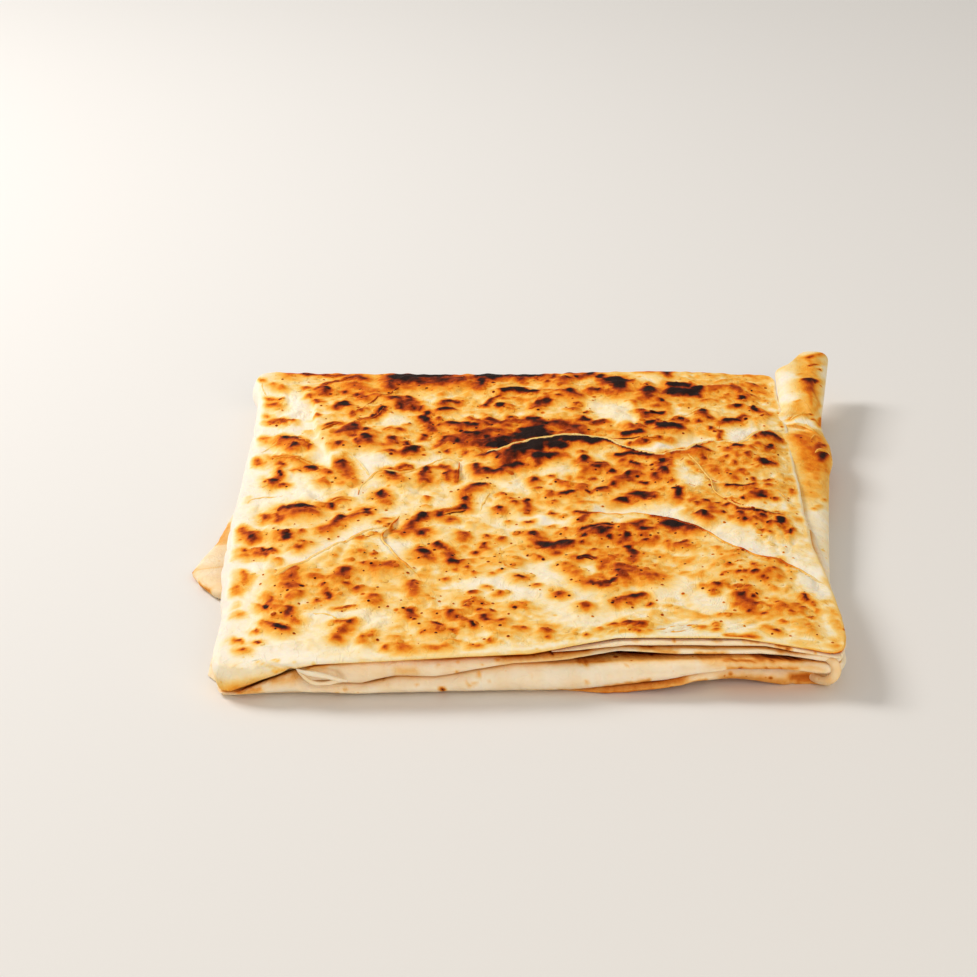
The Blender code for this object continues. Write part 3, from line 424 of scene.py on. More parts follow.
FRONT_SCORCHES = [
    (64, 1.6, -88.5, -69, -87.6, -66.3), (60, 1.6, -86.8, -62, -85.3, -57),
    (84, 3.4, -71.6, -5.6, -67.6, -6.4), (74, 4, -77, -7, -71, -5), (98, 1.3, -78.5, -7.6),
    (66, 5, -74, -11, -68, -11), (82, 1.8, -62, -4, -62, -6.4), (62, 2.4, -64, -4, -61, -1, -57.6, -0.8),
    (89, 3.4, -50.8, -8, -50.4, -10.4), (66, 3, -53, -12, -56, -15),
    (86, 3.2, -58, -15, -60, -20, -63.6, -24), (74, 1.8, -82.5, -12.6, -82.4, -15.4),
    (74, 1.8, -78.5, -12.6, -78.4, -15.6), (66, 1.8, -66.5, -12), (66, 1.4, -44, -15.4),
    (88, 1.1, -46, -18.6), (85, 1, -43.3, -21), (74, 1.2, -41.5, -23),
    (74, 2.4, -91.6, -22.6, -89.6, -23, -88.6, -26.6), (90, 3.2, -86, -30.6), (64, 6, -86, -28),
    (89, 3.2, -75, -28, -74.8, -30), (62, 7, -75.4, -27.6), (74, 2, -71, -36), (58, 3, -69, -33),
    (72, 1, -70.5, -25), (88, 1.8, -87, -39.4), (90, 0.9, -84, -38.7),
    (83, 1.6, -81.6, -39.2, -78.8, -38.6), (72, 1.2, -83.5, -42), (64, 2, -87, -43), (76, 1.2, -81, -42),
    (60, 1.2, -77, -45), (72, 1.2, -52, -33), (66, 1.2, -47, -30), (72, 1.1, -47, -44), (78, 0.9, -50, -52),
    (62, 3, -52, -43.4), (62, 1.4, -54, -49), (84, 4, -55.4, -55.6, -57, -59), (89, 2.2, -55, -63.6),
    (83, 1.9, -62, -64.6), (79, 2.3, -51.5, -66.4), (63, 7, -46, -53, -42, -52), (94, 1.3, -34.6, -60),
    (72, 3, -35, -61.6, -34, -69), (66, 7, -72, -54, -72, -63), (82, 3.2, -72, -65), (88, 1.2, -69, -64),
    (76, 1.6, -71.5, -58), (89, 1.8, -59.4, -69.6, -59.6, -72), (76, 1.4, -60, -67.4),
    (84, 1.2, -63.5, -73.6), (74, 2.2, -77, -72, -77, -76), (90, 2.2, -78.6, -78.6),
    (84, 2.4, -71, -78.4, -71, -83, -68.6, -86.4), (68, 2.8, -75, -84), (90, 3.6, -74, -91.6, -72, -92.6),
    (72, 1.6, -77, -89, -73, -91), (78, 0.9, -56.8, -78, -53, -77.4),
    (80, 2.4, -52.6, -88.4, -54, -93, -56, -98.6), (74, 1, -57, -88.6, -52.4, -88),
    (70, 4, -46, -72, -45.4, -75), (90, 2.6, -35.8, -80, -34.6, -84.6),
    (66, 2.2, -46.6, -95.4, -46.4, -97.4), (74, 1.8, -48, -99.4, -48.2, -101), (74, 0.8, -42, -105.6),
    (64, 4.4, -38, -103.4, -36, -106), (60, 2, -39.4, -98), (62, 4, -28.4, -104.4, -25.4, -104.6),
    (64, 1.6, -17, -103.6, -15, -103.4), (84, 1.0, -85, -101.8), (84, 1.0, -79.4, -101.8),
    (84, 1.7, -83.2, -107.8), (78, 0.8, -80, -94), (58, 1.2, -86, -84), (60, 1.1, -88.5, -78),
    (60, 1.5, -86.5, -55.4, -86.6, -58.6), (56, 1.1, -88, -66), (84, 2.2, -23.6, -81.6, -23.4, -84.4),
    (84, 1.8, -21.4, -84.4), (82, 1.4, -20, -86.4), (87, 2, -28.4, -89, -26.6, -89.2), (67, 5, -27, -93),
    (84, 1.1, -31, -94), (78, 1.4, -22.5, -93), (84, 2.2, -17.6, -88.4, -16.4, -90.8), (62, 1.6, -22, -100),
    (84, 1.1, -11.5, -100), (87, 1.7, -18.5, -78), (86, 1.8, -15, -79.4), (89, 1.8, -11.4, -80.6),
    (85, 2.6, -13.4, -84, -12, -86), (82, 1.8, -8.6, -87), (68, 2, -18, -75, -16, -73.4, -13.4, -76),
    (88, 2.6, -2.2, -57.2), (80, 1.5, -9, -69), (72, 1, -17, -69), (80, 0.8, -13, -64.5), (76, 1, 2.7, -63),
    (68, 1.2, -8, -52), (68, 1.2, -11, -54.6), (82, 1.7, -2.4, -91), (62, 2, -2, -76), (72, 3, 9, -67.6),
    (85, 1.8, 9.2, -69.4), (94, 3.6, 26.6, -74, 32.4, -70.6), (80, 3.2, 16.6, -77), (82, 1.7, 24.4, -89),
    (74, 1.6, 27.6, -88.6, 33, -90), (78, 1, 32, -94.6), (62, 1.4, 20, -92), (82, 0.8, 16.5, -96),
    (78, 1.1, 4, -93), (80, 1.1, 5.6, -93), (82, 1, 5, -98), (66, 3.4, 4.6, -94), (86, 0.8, 36, -75.6),
    (72, 1, 30, -76), (76, 1, 64, -42.5), (62, 1.4, 58, -39.4), (94, 2.8, 68, -57), (84, 1.3, 70.5, -60),
    (84, 1.2, 71.8, -62), (86, 1.2, 63, -55.6), (82, 1, 65, -55), (76, 1, 60, -56), (76, 0.9, 60.5, -51),
    (82, 0.9, 68, -51), (83, 1, 74, -55.5), (86, 2.4, 56, -64), (64, 1.6, 52, -64), (76, 1.1, 55, -67.6),
    (74, 3.2, 63, -70, 65, -79), (82, 1.8, 63.4, -70), (89, 1.1, 66.5, -72.6), (86, 1.3, 67, -77),
    (87, 2, 65, -81.4), (72, 1.1, 61, -76), (81, 0.9, 62.3, -64.6), (74, 1.8, 65, -65.6),
    (83, 1.6, 81.6, -70.6, 82, -73), (70, 1.4, 84.5, -75), (81, 1, 80.5, -78.6), (83, 1.4, 77, -81.4),
    (82, 0.9, 73.5, -75.6), (66, 1.4, 79, -76), (72, 1.1, 85, -80), (84, 1, 82.7, -84),
    (86, 0.8, 69, -82.5), (87, 1.9, 71.5, -93.2, 71.7, -94.4), (62, 2.6, 69, -91), (80, 0.9, 54.3, -89),
    (68, 0.9, 54.3, -92.4), (72, 1, 50, -91), (72, 0.9, 58, -97.4), (68, 1.2, 60, -98.6, 65, -98.2),
    (76, 1, 74, -87), (58, 1.4, 82.5, -95), (62, 0.9, 57.5, -83), (62, 0.9, 59.4, -83.4),
    (60, 0.9, 55, -83), (82, 1, 77.3, -43.6), (90, 0.8, 71, -44, 76.4, -49.4), (82, 0.9, 79, -52),
    (82, 1.4, 54, -5), (91, 1.6, 57.3, -2.4, 57.4, -3.6), (82, 1.2, 61, -4), (82, 1.2, 63.5, -6),
    (93, 2.2, 55.6, -11.4, 56.8, -16), (90, 1.4, 62, -12), (82, 1.1, 53.5, -12),
    (92, 1.1, 66, -9, 70, -9.6, 75, -11.2, 80, -11.4), (93, 2.2, 67.4, -12, 67.8, -14.6),
    (95, 2.6, 68.5, -17), (91, 2.4, 74, -13.4), (97, 2.8, 79.6, -16, 79.4, -18.4), (78, 3, 75.6, -19),
    (72, 2.4, 72, -16), (80, 1.2, 74, -24), (80, 1.2, 76, -25.6), (83, 1.2, 82, -23.6, 82, -25.8),
    (72, 1.2, 80.5, -21), (95, 0.9, 78, -10.6),
]


def plan_point(across, along):
    """The point of the plan at across and along, each -1 to 1."""
    pull = 1 - CORNER_PULL * np.minimum(1, np.abs(across * along)) ** CORNER_SHARPNESS
    u = (across * pull + 1) / 2
    v = (along * pull + 1) / 2
    corners = [np.array(c) for c in (FRONT_LEFT, FRONT_RIGHT, BACK_RIGHT, BACK_LEFT)]
    weights = [(1 - u) * (1 - v), u * (1 - v), u * v, (1 - u) * v]
    return sum(w[..., None] * c for w, c in zip(weights, corners))


def offset_point(across, along, reach):
    """The point of the plan that stands out from its rim by reach, mitred at the corners."""
    return plan_point(across * (1 + reach / HALF_WIDTH), along * (1 + reach / HALF_LENGTH))


def soft_step(x):
    """0 up to 0 and 1 from 1 on, with an even turn at both ends."""
    x = np.clip(x, 0.0, 1.0)
    return x * x * (3 - 2 * x)


def lumps(x, y, size, seed):
    """Smooth noise at each place, about -1 to 1, its lumps that many millimetres across."""
    places = zip(np.ravel(x) / size, np.ravel(y) / size)
    return np.reshape([noise.noise(Vector((a, b, seed))) for a, b in places], np.shape(x))


def layered(x, y, layers, on=0.0):
    """Layers of lumps, each (height, size, seed), laid one by one on what is there."""
    for height, size, seed in layers:
        on = on + height * lumps(x, y, size, seed)
    return on


def beside(x, y, path):
    """From each place to a path: how far, how far to its left, how far behind it, how far along."""
    path = np.array(path, float)
    best = np.full(x.shape, np.inf)
    signed = np.zeros(x.shape)
    behind = np.zeros(x.shape)
    travelled = np.zeros(x.shape)
    start = 0.0
    for a, b in zip(path[:-1], path[1:]):
        leg = b - a
        length = max(math.hypot(*leg), 0.001)
        t = np.clip(((x - a[0]) * leg[0] + (y - a[1]) * leg[1]) / length**2, 0, 1)
        dx = x - a[0] - t * leg[0]
        dy = y - a[1] - t * leg[1]
        away = np.hypot(dx, dy)
        nearer = away < best
        best = np.where(nearer, away, best)
        signed = np.where(nearer, np.sign(leg[0] * dy - leg[1] * dx) * away, signed)
        behind = np.where(nearer, dy, behind)
        travelled = np.where(nearer, start + t * length, travelled)
        start += length
    return best, signed, behind, travelled, start


def rounded(path):
    """The path with its bends cut twice, so that it runs in curves."""
    path = np.array(path, float)
    for _ in range(2):
        cut = [path[0]]
        for a, b in zip(path[:-1], path[1:]):
            cut += [a * 0.75 + b * 0.25, a * 0.25 + b * 0.75]
        path = np.array(cut + [path[-1]])
    return path


def room(shares):
    """How much of its full depth a fold's tip has: all of it along a side, and less near a corner."""
    from_corner = np.abs(shares - np.round(shares)) * 2 * HALF_LENGTH
    return CORNER_ROOM + (1 - CORNER_ROOM) * soft_step(from_corner / CORNER_FADE)


def rim_steps(columns, rows):
    """The grid places round the rim, counter-clockwise from the front left corner, and their shares."""
    steps = [(i, 0) for i in range(columns)] + [(columns, j) for j in range(rows)]
    steps += [(columns - i, rows) for i in range(columns)] + [(0, rows - j) for j in range(rows)]
    sides = enumerate((columns, rows, columns, rows))
    shares = [side + k / cells for side, cells in sides for k in range(cells)]
    return np.array(steps), np.array(shares)


def nose(reach, tip, top, bottom, angles):
    """The rounded edge of a fold: a row of (reach, height) for each angle from over it to under it."""
    rows = []
    for angle in np.radians(angles):
        out = reach - tip + tip * max(0.0, math.cos(angle))
        rows.append((out, (top + bottom) / 2 + (top - bottom) / 2 * math.sin(angle)))
    return rows


def seen_height(at):
    """How high points at the front look from the front: those further back look higher."""
    wide, deep = FRONT_RIGHT[0] - FRONT_LEFT[0], FRONT_RIGHT[1] - FRONT_LEFT[1]
    edge = FRONT_LEFT[1] + (at[:, 0] - FRONT_LEFT[0]) * deep / wide
    return at[:, 2] + SIGHT_SLOPE * (at[:, 1] - edge)


def bands(rings):
    """The faces between closed rings of point numbers, each ring below the one before."""
    faces = []
    for upper, lower in zip(rings[:-1], rings[1:]):
        faces += list(zip(upper, lower, np.roll(lower, -1), np.roll(upper, -1)))
    return [tuple(int(n) for n in face) for face in faces]


def cell_corners(columns, rows):
    """The number of each grid cell's first point, column by column."""
    return (np.arange(columns)[:, None] * (rows + 1) + np.arange(rows)[None, :]).ravel()


def keep_shades(mesh, shades):
    """Keeps a value for each point of a mesh, under each shade's name."""
    for shade, values in shades.items():
        layer = mesh.attributes.new(shade, "FLOAT", "POINT")
        layer.data.foreach_set("value", np.ravel(values).astype(np.float32))


def build(name, points, faces, material, **shades):
    """A smooth closed object from points in the plan, with the shades' values kept at its points."""
    mesh = bpy.data.meshes.new(name)
    mesh.from_pydata(placed(points).tolist(), [], faces)
    shape = bmesh.new()
    shape.from_mesh(mesh)
    bmesh.ops.recalc_face_normals(shape, faces=shape.faces)
    shape.to_mesh(mesh)
    shape.free()
    keep_shades(mesh, shades)
    mesh.shade_smooth()
    mesh.materials.append(material)
    piece = bpy.data.objects.new(name, mesh)
    bpy.context.scene.collection.objects.link(piece)
    return piece


def washed(x, y, level, washes):
    """The level with each broad wash laid over it in turn."""
    for heat, width, *flat in washes:
        away = beside(x, y, np.reshape(flat, (-1, 2)))[0]
        share = np.exp(-((away / (width * WASH_CORE)) ** 4))
        level = level * (1 - share) + heat / 100 * share
    return level


def scorched(x, y, marks, spread=1.0):
    """How hot each place got under the marks, and how far the blister at each mark lifts it."""
    total = np.zeros(x.shape)
    lift = np.zeros(x.shape)
    for degree, width, *flat in marks:
        path = np.reshape(flat, (-1, 2))
        path = np.vstack([path, path]) if len(path) == 1 else path
        radius = width / 2
        reach = radius * 3 + 5.5  # past this nothing of the mark is left
        low, high = path.min(axis=0) - reach, path.max(axis=0) + reach
        near = (x > low[0]) & (x < high[0]) & (y > low[1]) & (y < high[1])
        away, _, behind, _, _ = beside(x[near], y[near], path)
        lean = behind / np.maximum(away, 0.01)
        away = away * (1 + SHARPER_BEHIND * np.clip(lean, -1, 1))
        core_edge = radius * CORE_SIZE + CORE_BLUR * spread
        core = degree / 100 * np.exp(-((away / core_edge) ** CORE_FALL))
        long = np.ptp(path[:, 1])
        further_down = soft_step((path[:, 1].max() - y[near]) / max(long, LONG_MARK))
        core *= 1 - LOWER_FADE * further_down * (long > LONG_MARK)
        halo_edge = radius * HALO_SIZE + HALO_BLUR * spread
        halo = min(degree / 100, HALO_MOST) * HALO_SHARE * np.exp(-((away / halo_edge) ** HALO_FALL))
        hot = np.maximum(core, halo)
        total[near] = total[near] + hot**MERGING
        bump = np.exp(-((away / (radius * 1.3 + 0.9)) ** 2)) * min(0.28 + 0.14 * width, 0.9)
        lift[near] = np.maximum(lift[near], bump)
    return np.minimum(total ** (1 / MERGING), 1.0), lift


def puffed(x, y, size, seed):
    """Rounded blisters that meet in sharp valleys: 0 in the valleys, and about 0.3 on average."""
    bent_x = x + 0.7 * size * lumps(x, y, size * 1.6, seed + 1)
    bent_y = y + 0.7 * size * lumps(x, y, size * 1.6, seed + 2)
    return np.abs(lumps(bent_x, bent_y, size, seed))


def stepped(x, y, path, rise, hollow, end, step_fade, hollow_fade):
    """A fold's edge as a step: its height at each place, the way there from its line, its fading ends."""
    _, signed, _, travelled, length = beside(x, y, rounded(path))
    ends = soft_step(travelled / end) * soft_step((length - travelled) / end)
    high = rise * np.exp(-((np.maximum(signed, 0) / step_fade) ** 2))
    low = -hollow * np.exp(-((np.minimum(signed, 0) / hollow_fade) ** 2))
    return ends * (low + (high - low) * soft_step(signed / STEP_WIDTH + 0.5)), signed, ends


across, along = np.meshgrid(np.linspace(-1, 1, COLUMNS + 1), np.linspace(-1, 1, ROWS + 1), indexing="ij")
plan = plan_point(across, along)
x, y = plan[..., 0], plan[..., 1]
steps, shares = rim_steps(COLUMNS, ROWS)
rim_across, rim_along = across[steps[:, 0], steps[:, 1]], along[steps[:, 0], steps[:, 1]]
rim_x, rim_y = plan[steps[:, 0], steps[:, 1]].T

# The hem: a rounded nose all round, a little uneven in reach and height.
depth = room(shares)
on_left, on_back = rim_x < LEFT_RIM, rim_y > BACK_RIM
waver = layered(rim_x, rim_y, HEM_WAVER)
waver += 0.45 * lumps(rim_x, rim_y, 5.5, 4.4) * on_left + 0.5 * lumps(rim_x, rim_y, 3.6, 4.9) * on_back
hem_rows = nose(
    HEM_REACH(shares) + waver, HEM_TIP(shares) * depth, SHOULDER(shares) + 0.8 * waver * on_back,
    HEM(shares) + 0.5 * waver, HEM_ANGLES,
)
hem_rows.append((HEM_REACH(shares) - SHEET_BACK, HEM(shares) + 0.3))
hem_rows.append((HEM_REACH(shares) - SHEET_BACK - SHEET_LAP, np.full(shares.shape, SHEET_FLOOR)))
hem_rings = []
for reach, height in hem_rows:
    hem_rings.append(np.column_stack([offset_point(rim_across, rim_along, reach), height]))
for ring in hem_rings[1:len(HEM_ANGLES)]:
    for crease_width, crease_depth, crease in HEM_CREASES:
        away = beside(ring[:, 0], seen_height(ring), crease)[0] + FAR_OFF * (ring[:, 1] > FRONT_RIM)
        ring[:, 1] += crease_depth * np.exp(-((away / crease_width) ** 2))

# The face: it droops to the hem at its edges, is swollen by the filling and stepped by the folds below.
shift = np.zeros(across.shape + (3,))
rim = np.column_stack([rim_x, rim_y, np.full(len(shares), TOP_LEVEL)])
shift[steps[:, 0], steps[:, 1]] = hem_rings[0] - rim
pull = np.zeros_like(shift)
total = np.zeros(across.shape)
for side_shift, edge_depth in (
    (shift[:, :1], y - plan[:, :1, 1]),
    (shift[-1:, :], plan[-1:, :, 0] - x),
    (shift[:, -1:], plan[:, -1:, 1] - y),
    (shift[:1, :], x - plan[:1, :, 0]),
):
    nearness = 1 / (edge_depth + RIM_NEAR) ** 2
    pull += (nearness * np.exp(-((edge_depth / EDGE_REACH) ** 2)))[..., None] * side_shift
    total += nearness
pull /= total[..., None]
crown = (1 - np.abs(across) ** PILLOW_EDGE) * (1 - np.abs(along) ** PILLOW_EDGE)
inward = np.minimum(1, RELIEF_EDGE * crown)
swell = SWELL_HEIGHT * layered(x, y, SWELLS)
height = TOP_LEVEL + PILLOW * crown + (swell + 0.6) * inward

# Marks and steps are laid out on the level plane, and drawn where the swollen face lifts them to it.
drawn_x = x + pull[..., 0]
drawn_y = y + pull[..., 1] + RISE_SHIFT * (height + pull[..., 2] - LAID_OUT_AT)
flat_x = layered(x, y, MARK_JOG_X, on=drawn_x)
flat_y = layered(x, y, MARK_JOG_Y, on=drawn_y)
puffs = puffed(x, y, 11, 24.0)
small_puffs = puffed(x, y, 5.2, 27.0)
heat = layered(x, y, CLOUDS, on=PLAIN_HEAT + HARDER_AT_BACK * y)
heat = washed(flat_x, flat_y, heat, WASHES) * (0.94 + HARDER_AT_RIGHT * x)
# Where the sheet has begun to toast, its puffs took more heat than its valleys.
ready = soft_step((heat - 0.10) / 0.3)
uneven = 0.42 * (heat - 0.37) + 0.40 * (puffs - 0.26) + 0.26 * (small_puffs - 0.26)
heat = heat + ready * layered(x, y, ((0.20, 3.0, 14.1),), on=uneven)
heat = heat + (0.4 + 0.6 * ready) * 0.10 * lumps(x, y, 1.5, 15.9)
hot, lift = scorched(flat_x, flat_y, LEFT_SCORCHES + BACK_SCORCHES + MIDDLE_SCORCHES + FRONT_SCORCHES)
mottled = layered(x, y, ((0.16, 3.4, 17.3), (0.12, 1.4, 18.1)), on=1)
hot = (1.14 + 1.6 * HARDER_AT_BACK * y) * hot * mottled
edge_x = layered(x, y, EDGE_JOG_X, on=drawn_x)
edge_y = layered(x, y, EDGE_JOG_Y, on=drawn_y)
steps_up = np.zeros(x.shape)
for path, rise, hollow, paleness, pale_width in OVERLAPS:
    fades = (STEP_END, STEP_FADE, HOLLOW_FADE)
    raised, signed, ends = stepped(edge_x, edge_y, path, rise, hollow, *fades)
    steps_up += raised
    below = paleness * ends * soft_step(0.5 - signed / 1.5)
    bare = below * np.exp(-((np.minimum(signed, 0) / pale_width) ** 2))
    heat = heat * (1 - bare) + PALE_HEAT * bare
    hot = hot * (1 - below * np.exp(-((np.minimum(signed, 0) / CLEAN_WIDTH) ** 2)))
heat = np.maximum(heat, hot)
wrinkle = layered(x, y, SKIN_WRINKLES)
wrinkle += 1.2 * puffs + 0.9 * small_puffs - 0.5
relief = steps_up + lift + wrinkle
height = height + relief * inward - 0.6 * inward
face_points = np.stack([x, y, height], axis=-1) + pull
face_points[steps[:, 0], steps[:, 1]] = hem_rings[0]

points = list(face_points.reshape(-1, 3))
rings = [steps[:, 0] * (ROWS + 1) + steps[:, 1]]
for ring in hem_rings[1:]:
    rings.append(np.arange(len(points), len(points) + len(ring)))
    points += list(ring)
faces = [(c, c + ROWS + 1, c + ROWS + 2, c + 1) for c in cell_corners(COLUMNS, ROWS).tolist()]
faces += bands(rings)
faces.append(tuple(int(n) for n in reversed(rings[-1])))
edge_heat = heat[steps[:, 0], steps[:, 1]]
hem_tone = []
for k, ring in enumerate(hem_rings[1:], start=1):
    turned = soft_step(k / 3.5)
    ring_heat = edge_heat * (1 - turned) + HEM_BAKED(shares) * turned
    ring_heat += HEM_EDGE_BAKED(shares) * soft_step((k - 5) / 5)
    ring_heat += 0.07 * lumps(ring[:, 0] + ring[:, 1], ring[:, 2], 4, 16.3)
    # The hem's marks: toasted places, and painted shade along its creases.
    marks_tone = scorched(ring[:, 0], seen_height(ring), HEM_MARKS, SIDE_SPREAD)[0]
    hem_tone.append(np.where(ring[:, 1] < FRONT_RIM, np.maximum(ring_heat, marks_tone), ring_heat))
all_tone = np.concatenate([heat.ravel()] + hem_tone)


def ramp_colours(ramp, stops):
    """Sets a colour ramp to stops of (place, red, green, blue), the colours as seen on a screen."""
    while len(ramp.elements) > 1:
        ramp.elements.remove(ramp.elements[-1])
    for k, (place, *colour) in enumerate(stops):
        stop = ramp.elements[0] if k == 0 else ramp.elements.new(place)
        stop.position = place
        linear = [((c / 255 + 0.055) / 1.055) ** 2.4 for c in colour]
        stop.color = (*linear, 1.0)


def math_node(tree, operation, *values):
    """The result of a math node, on numbers or on other nodes' results."""
    node = tree.nodes.new("ShaderNodeMath")
    node.operation = operation
    for socket, value in zip(node.inputs, values):
        if isinstance(value, (int, float)):
            socket.default_value = value
        else:
            tree.links.new(value, socket)
    return node.outputs[0]


# The pinholes and the finer specks of the crust: cells to the metre, the share of cells that stay empty,
# how wide a speck is at its rim and at its dark middle, and how dark it is.
SPECKS = ((175.0, 0.60, 0.19, 0.05, 0.50), (330.0, 0.78, 0.17, 0.05, 0.34))


def dough_material(name, stops, grain=0.08, wrinkled=0.45):
    """Baked dough: its colour follows the heat at each point, broken up by the grain of the flour."""
    material = bpy.data.materials.new(name)
    material.use_nodes = True
    tree = material.node_tree
    nodes, links = tree.nodes, tree.links
    shader = nodes["Principled BSDF"]
    place = nodes.new("ShaderNodeTexCoord")
    # The value read here is how baked each point is; on the folds, the hem, the lips and the creases it
    # also carries painted shade.
    heat_in = nodes.new("ShaderNodeAttribute")
    heat_in.attribute_name = "baked"

    def texture(kind, scale, detail=3.0):
        node = nodes.new(kind)
        node.inputs["Scale"].default_value = scale
        if kind == "ShaderNodeTexNoise":
            node.inputs["Detail"].default_value = detail
        links.new(place.outputs["Object"], node.inputs["Vector"])
        return node

    coarse = texture("ShaderNodeTexNoise", 420.0, 4.0)
    fine = texture("ShaderNodeTexNoise", 1600.0, 2.0)
    spread = math_node(tree, "SUBTRACT", coarse.outputs["Fac"], 0.5)
    speckle = math_node(tree, "SUBTRACT", fine.outputs["Fac"], 0.5)
    heat_value = heat_in.outputs["Fac"]
    # Grain is strongest where the crust turns from gold to brown, and faint where it is raw or black.
    window = math_node(tree, "MULTIPLY", heat_value, math_node(tree, "SUBTRACT", 1.35, heat_value))
    cloudy = math_node(tree, "MULTIPLY", spread, window)
    grained = math_node(tree, "MULTIPLY_ADD", cloudy, grain * 7, heat_value)
    speckled = math_node(tree, "MULTIPLY", speckle, window)
    grained = math_node(tree, "MULTIPLY_ADD", speckled, grain * 2.2, grained)
    # Pinholes and specks, each a dark point in a small toasted ring.
    specked = grained
    for cells_per_metre, empty, wide, narrow, darkness in SPECKS:
        cells = texture("ShaderNodeTexVoronoi", cells_per_metre)
        split = nodes.new("ShaderNodeSeparateColor")
        links.new(cells.outputs["Color"], split.inputs["Color"])
        chosen = math_node(tree, "GREATER_THAN", split.outputs["Red"], empty)
        dot = nodes.new("ShaderNodeMapRange")
        dot.interpolation_type = "SMOOTHSTEP"
        dot.inputs["From Min"].default_value = wide
        dot.inputs["From Max"].default_value = narrow
        links.new(cells.outputs["Distance"], dot.inputs["Value"])
        inside = math_node(tree, "MULTIPLY", dot.outputs["Result"], chosen)
        speck = math_node(tree, "MULTIPLY", inside, darkness)
        shown = math_node(tree, "MULTIPLY_ADD", heat_value, 1.2, 0.16)
        specked = math_node(tree, "MULTIPLY_ADD", speck, shown, specked)
    ramp = nodes.new("ShaderNodeValToRGB")
    ramp_colours(ramp.color_ramp, stops)
    links.new(specked, ramp.inputs["Fac"])
    links.new(ramp.outputs["Color"], shader.inputs["Base Color"])
    rough = nodes.new("ShaderNodeMapRange")
    rough.inputs["To Min"].default_value = 0.62
    rough.inputs["To Max"].default_value = 0.82
    links.new(specked, rough.inputs["Value"])
    links.new(rough.outputs["Result"], shader.inputs["Roughness"])
    shader.inputs["Specular IOR Level"].default_value = 0.10
    shader.inputs["Subsurface Weight"].default_value = 0.18
    shader.inputs["Subsurface Radius"].default_value = (1.0, 0.55, 0.25)
    shader.inputs["Subsurface Scale"].default_value = 0.0018
    # Thin wrinkles: the lines where a slow noise passes its middle value.
    slow = texture("ShaderNodeTexNoise", 110.0, 3.0)
    slow.inputs["Distortion"].default_value = 1.4
    off_middle = math_node(tree, "ABSOLUTE", math_node(tree, "SUBTRACT", slow.outputs["Fac"], 0.5))
    wrinkles = nodes.new("ShaderNodeMapRange")
    wrinkles.interpolation_type = "SMOOTHSTEP"
    wrinkles.inputs["From Min"].default_value = 0.045
    wrinkles.inputs["From Max"].default_value = 0.0
    links.new(off_middle, wrinkles.inputs["Value"])
    relief = math_node(tree, "MULTIPLY_ADD", fine.outputs["Fac"], 0.35, coarse.outputs["Fac"])
    relief = math_node(tree, "MULTIPLY_ADD", wrinkles.outputs["Result"], wrinkled, relief)
    relief = math_node(tree, "MULTIPLY_ADD", slow.outputs["Fac"], 3.0 * wrinkled, relief)
    bump = nodes.new("ShaderNodeBump")
    bump.inputs["Strength"].default_value = 0.5
    bump.inputs["Distance"].default_value = 0.00055
    links.new(relief, bump.inputs["Height"])
    links.new(bump.outputs["Normal"], shader.inputs["Normal"])
    return material


CRUST = (
    (0.00, 240, 229, 213), (0.07, 251, 239, 217), (0.14, 252, 233, 194), (0.24, 252, 218, 150),
    (0.34, 250, 200, 108), (0.45, 247, 175, 64), (0.56, 237, 138, 24), (0.66, 213, 98, 8),
    (0.76, 168, 60, 4), (0.86, 108, 34, 5), (0.95, 58, 22, 10), (1.00, 36, 21, 17),
)
crust = dough_material("griddled_crust", CRUST)
top_sheet = build("top_sheet", points, faces, crust, baked=all_tone)
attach(top_sheet, "root")
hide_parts("gozleme")

# ------------------------------------------------------------------------- the lips and the creases
# Where a fold ends below, the skin of the sheet is pinched up into a thin lip, pale on top and painted
# darker under its overhang as painted shade. Where two folds pull against each other it is nipped into a
# fine crease, drawn as a thin dark strip whose darkness is painted shade for the slit.
STRIP_SPACING = 0.55
STRIP_SMOOTHING = 5
LIP_SET_BACK = 0.6
LIP_HEAT_FROM = 1.6
STRIP_TAPER = 5.0
# Which way a strip's section faces where it is painted darkest: painted shade under its overhang.
STRIP_SHADED_SIDE = (0.85, -0.52, 0.0)
LIP_LEAST = 0.06
# How much darker than the sheet beside them the creases are drawn: painted shade for the slit.
CREASE_DARKNESS = (1.15, 0.54, 0.84)
# One row each: half width against the usual one, the share of the heat beside it that it took and the most
# that it can have, and its points, walked with the raised side on the left hand.
FOLD_LIPS = [
    (0.80, 0.95, 0.60, LONG_OVERLAP), (1.15, 0.25, 0.14, CHARRED_OVERLAP),
    (1.10, 0.50, 0.22, FRONT_OVERLAP), (0.60, 0.75, 0.36, MIDDLE_LOBE), (0.70, 0.60, 0.26, LEFT_LOBE[2:]),
    (0.50, 0.55, 0.22, RIGHT_LOBE), (0.70, 0.60, 0.26, RIM_FOLD[2:]),
]
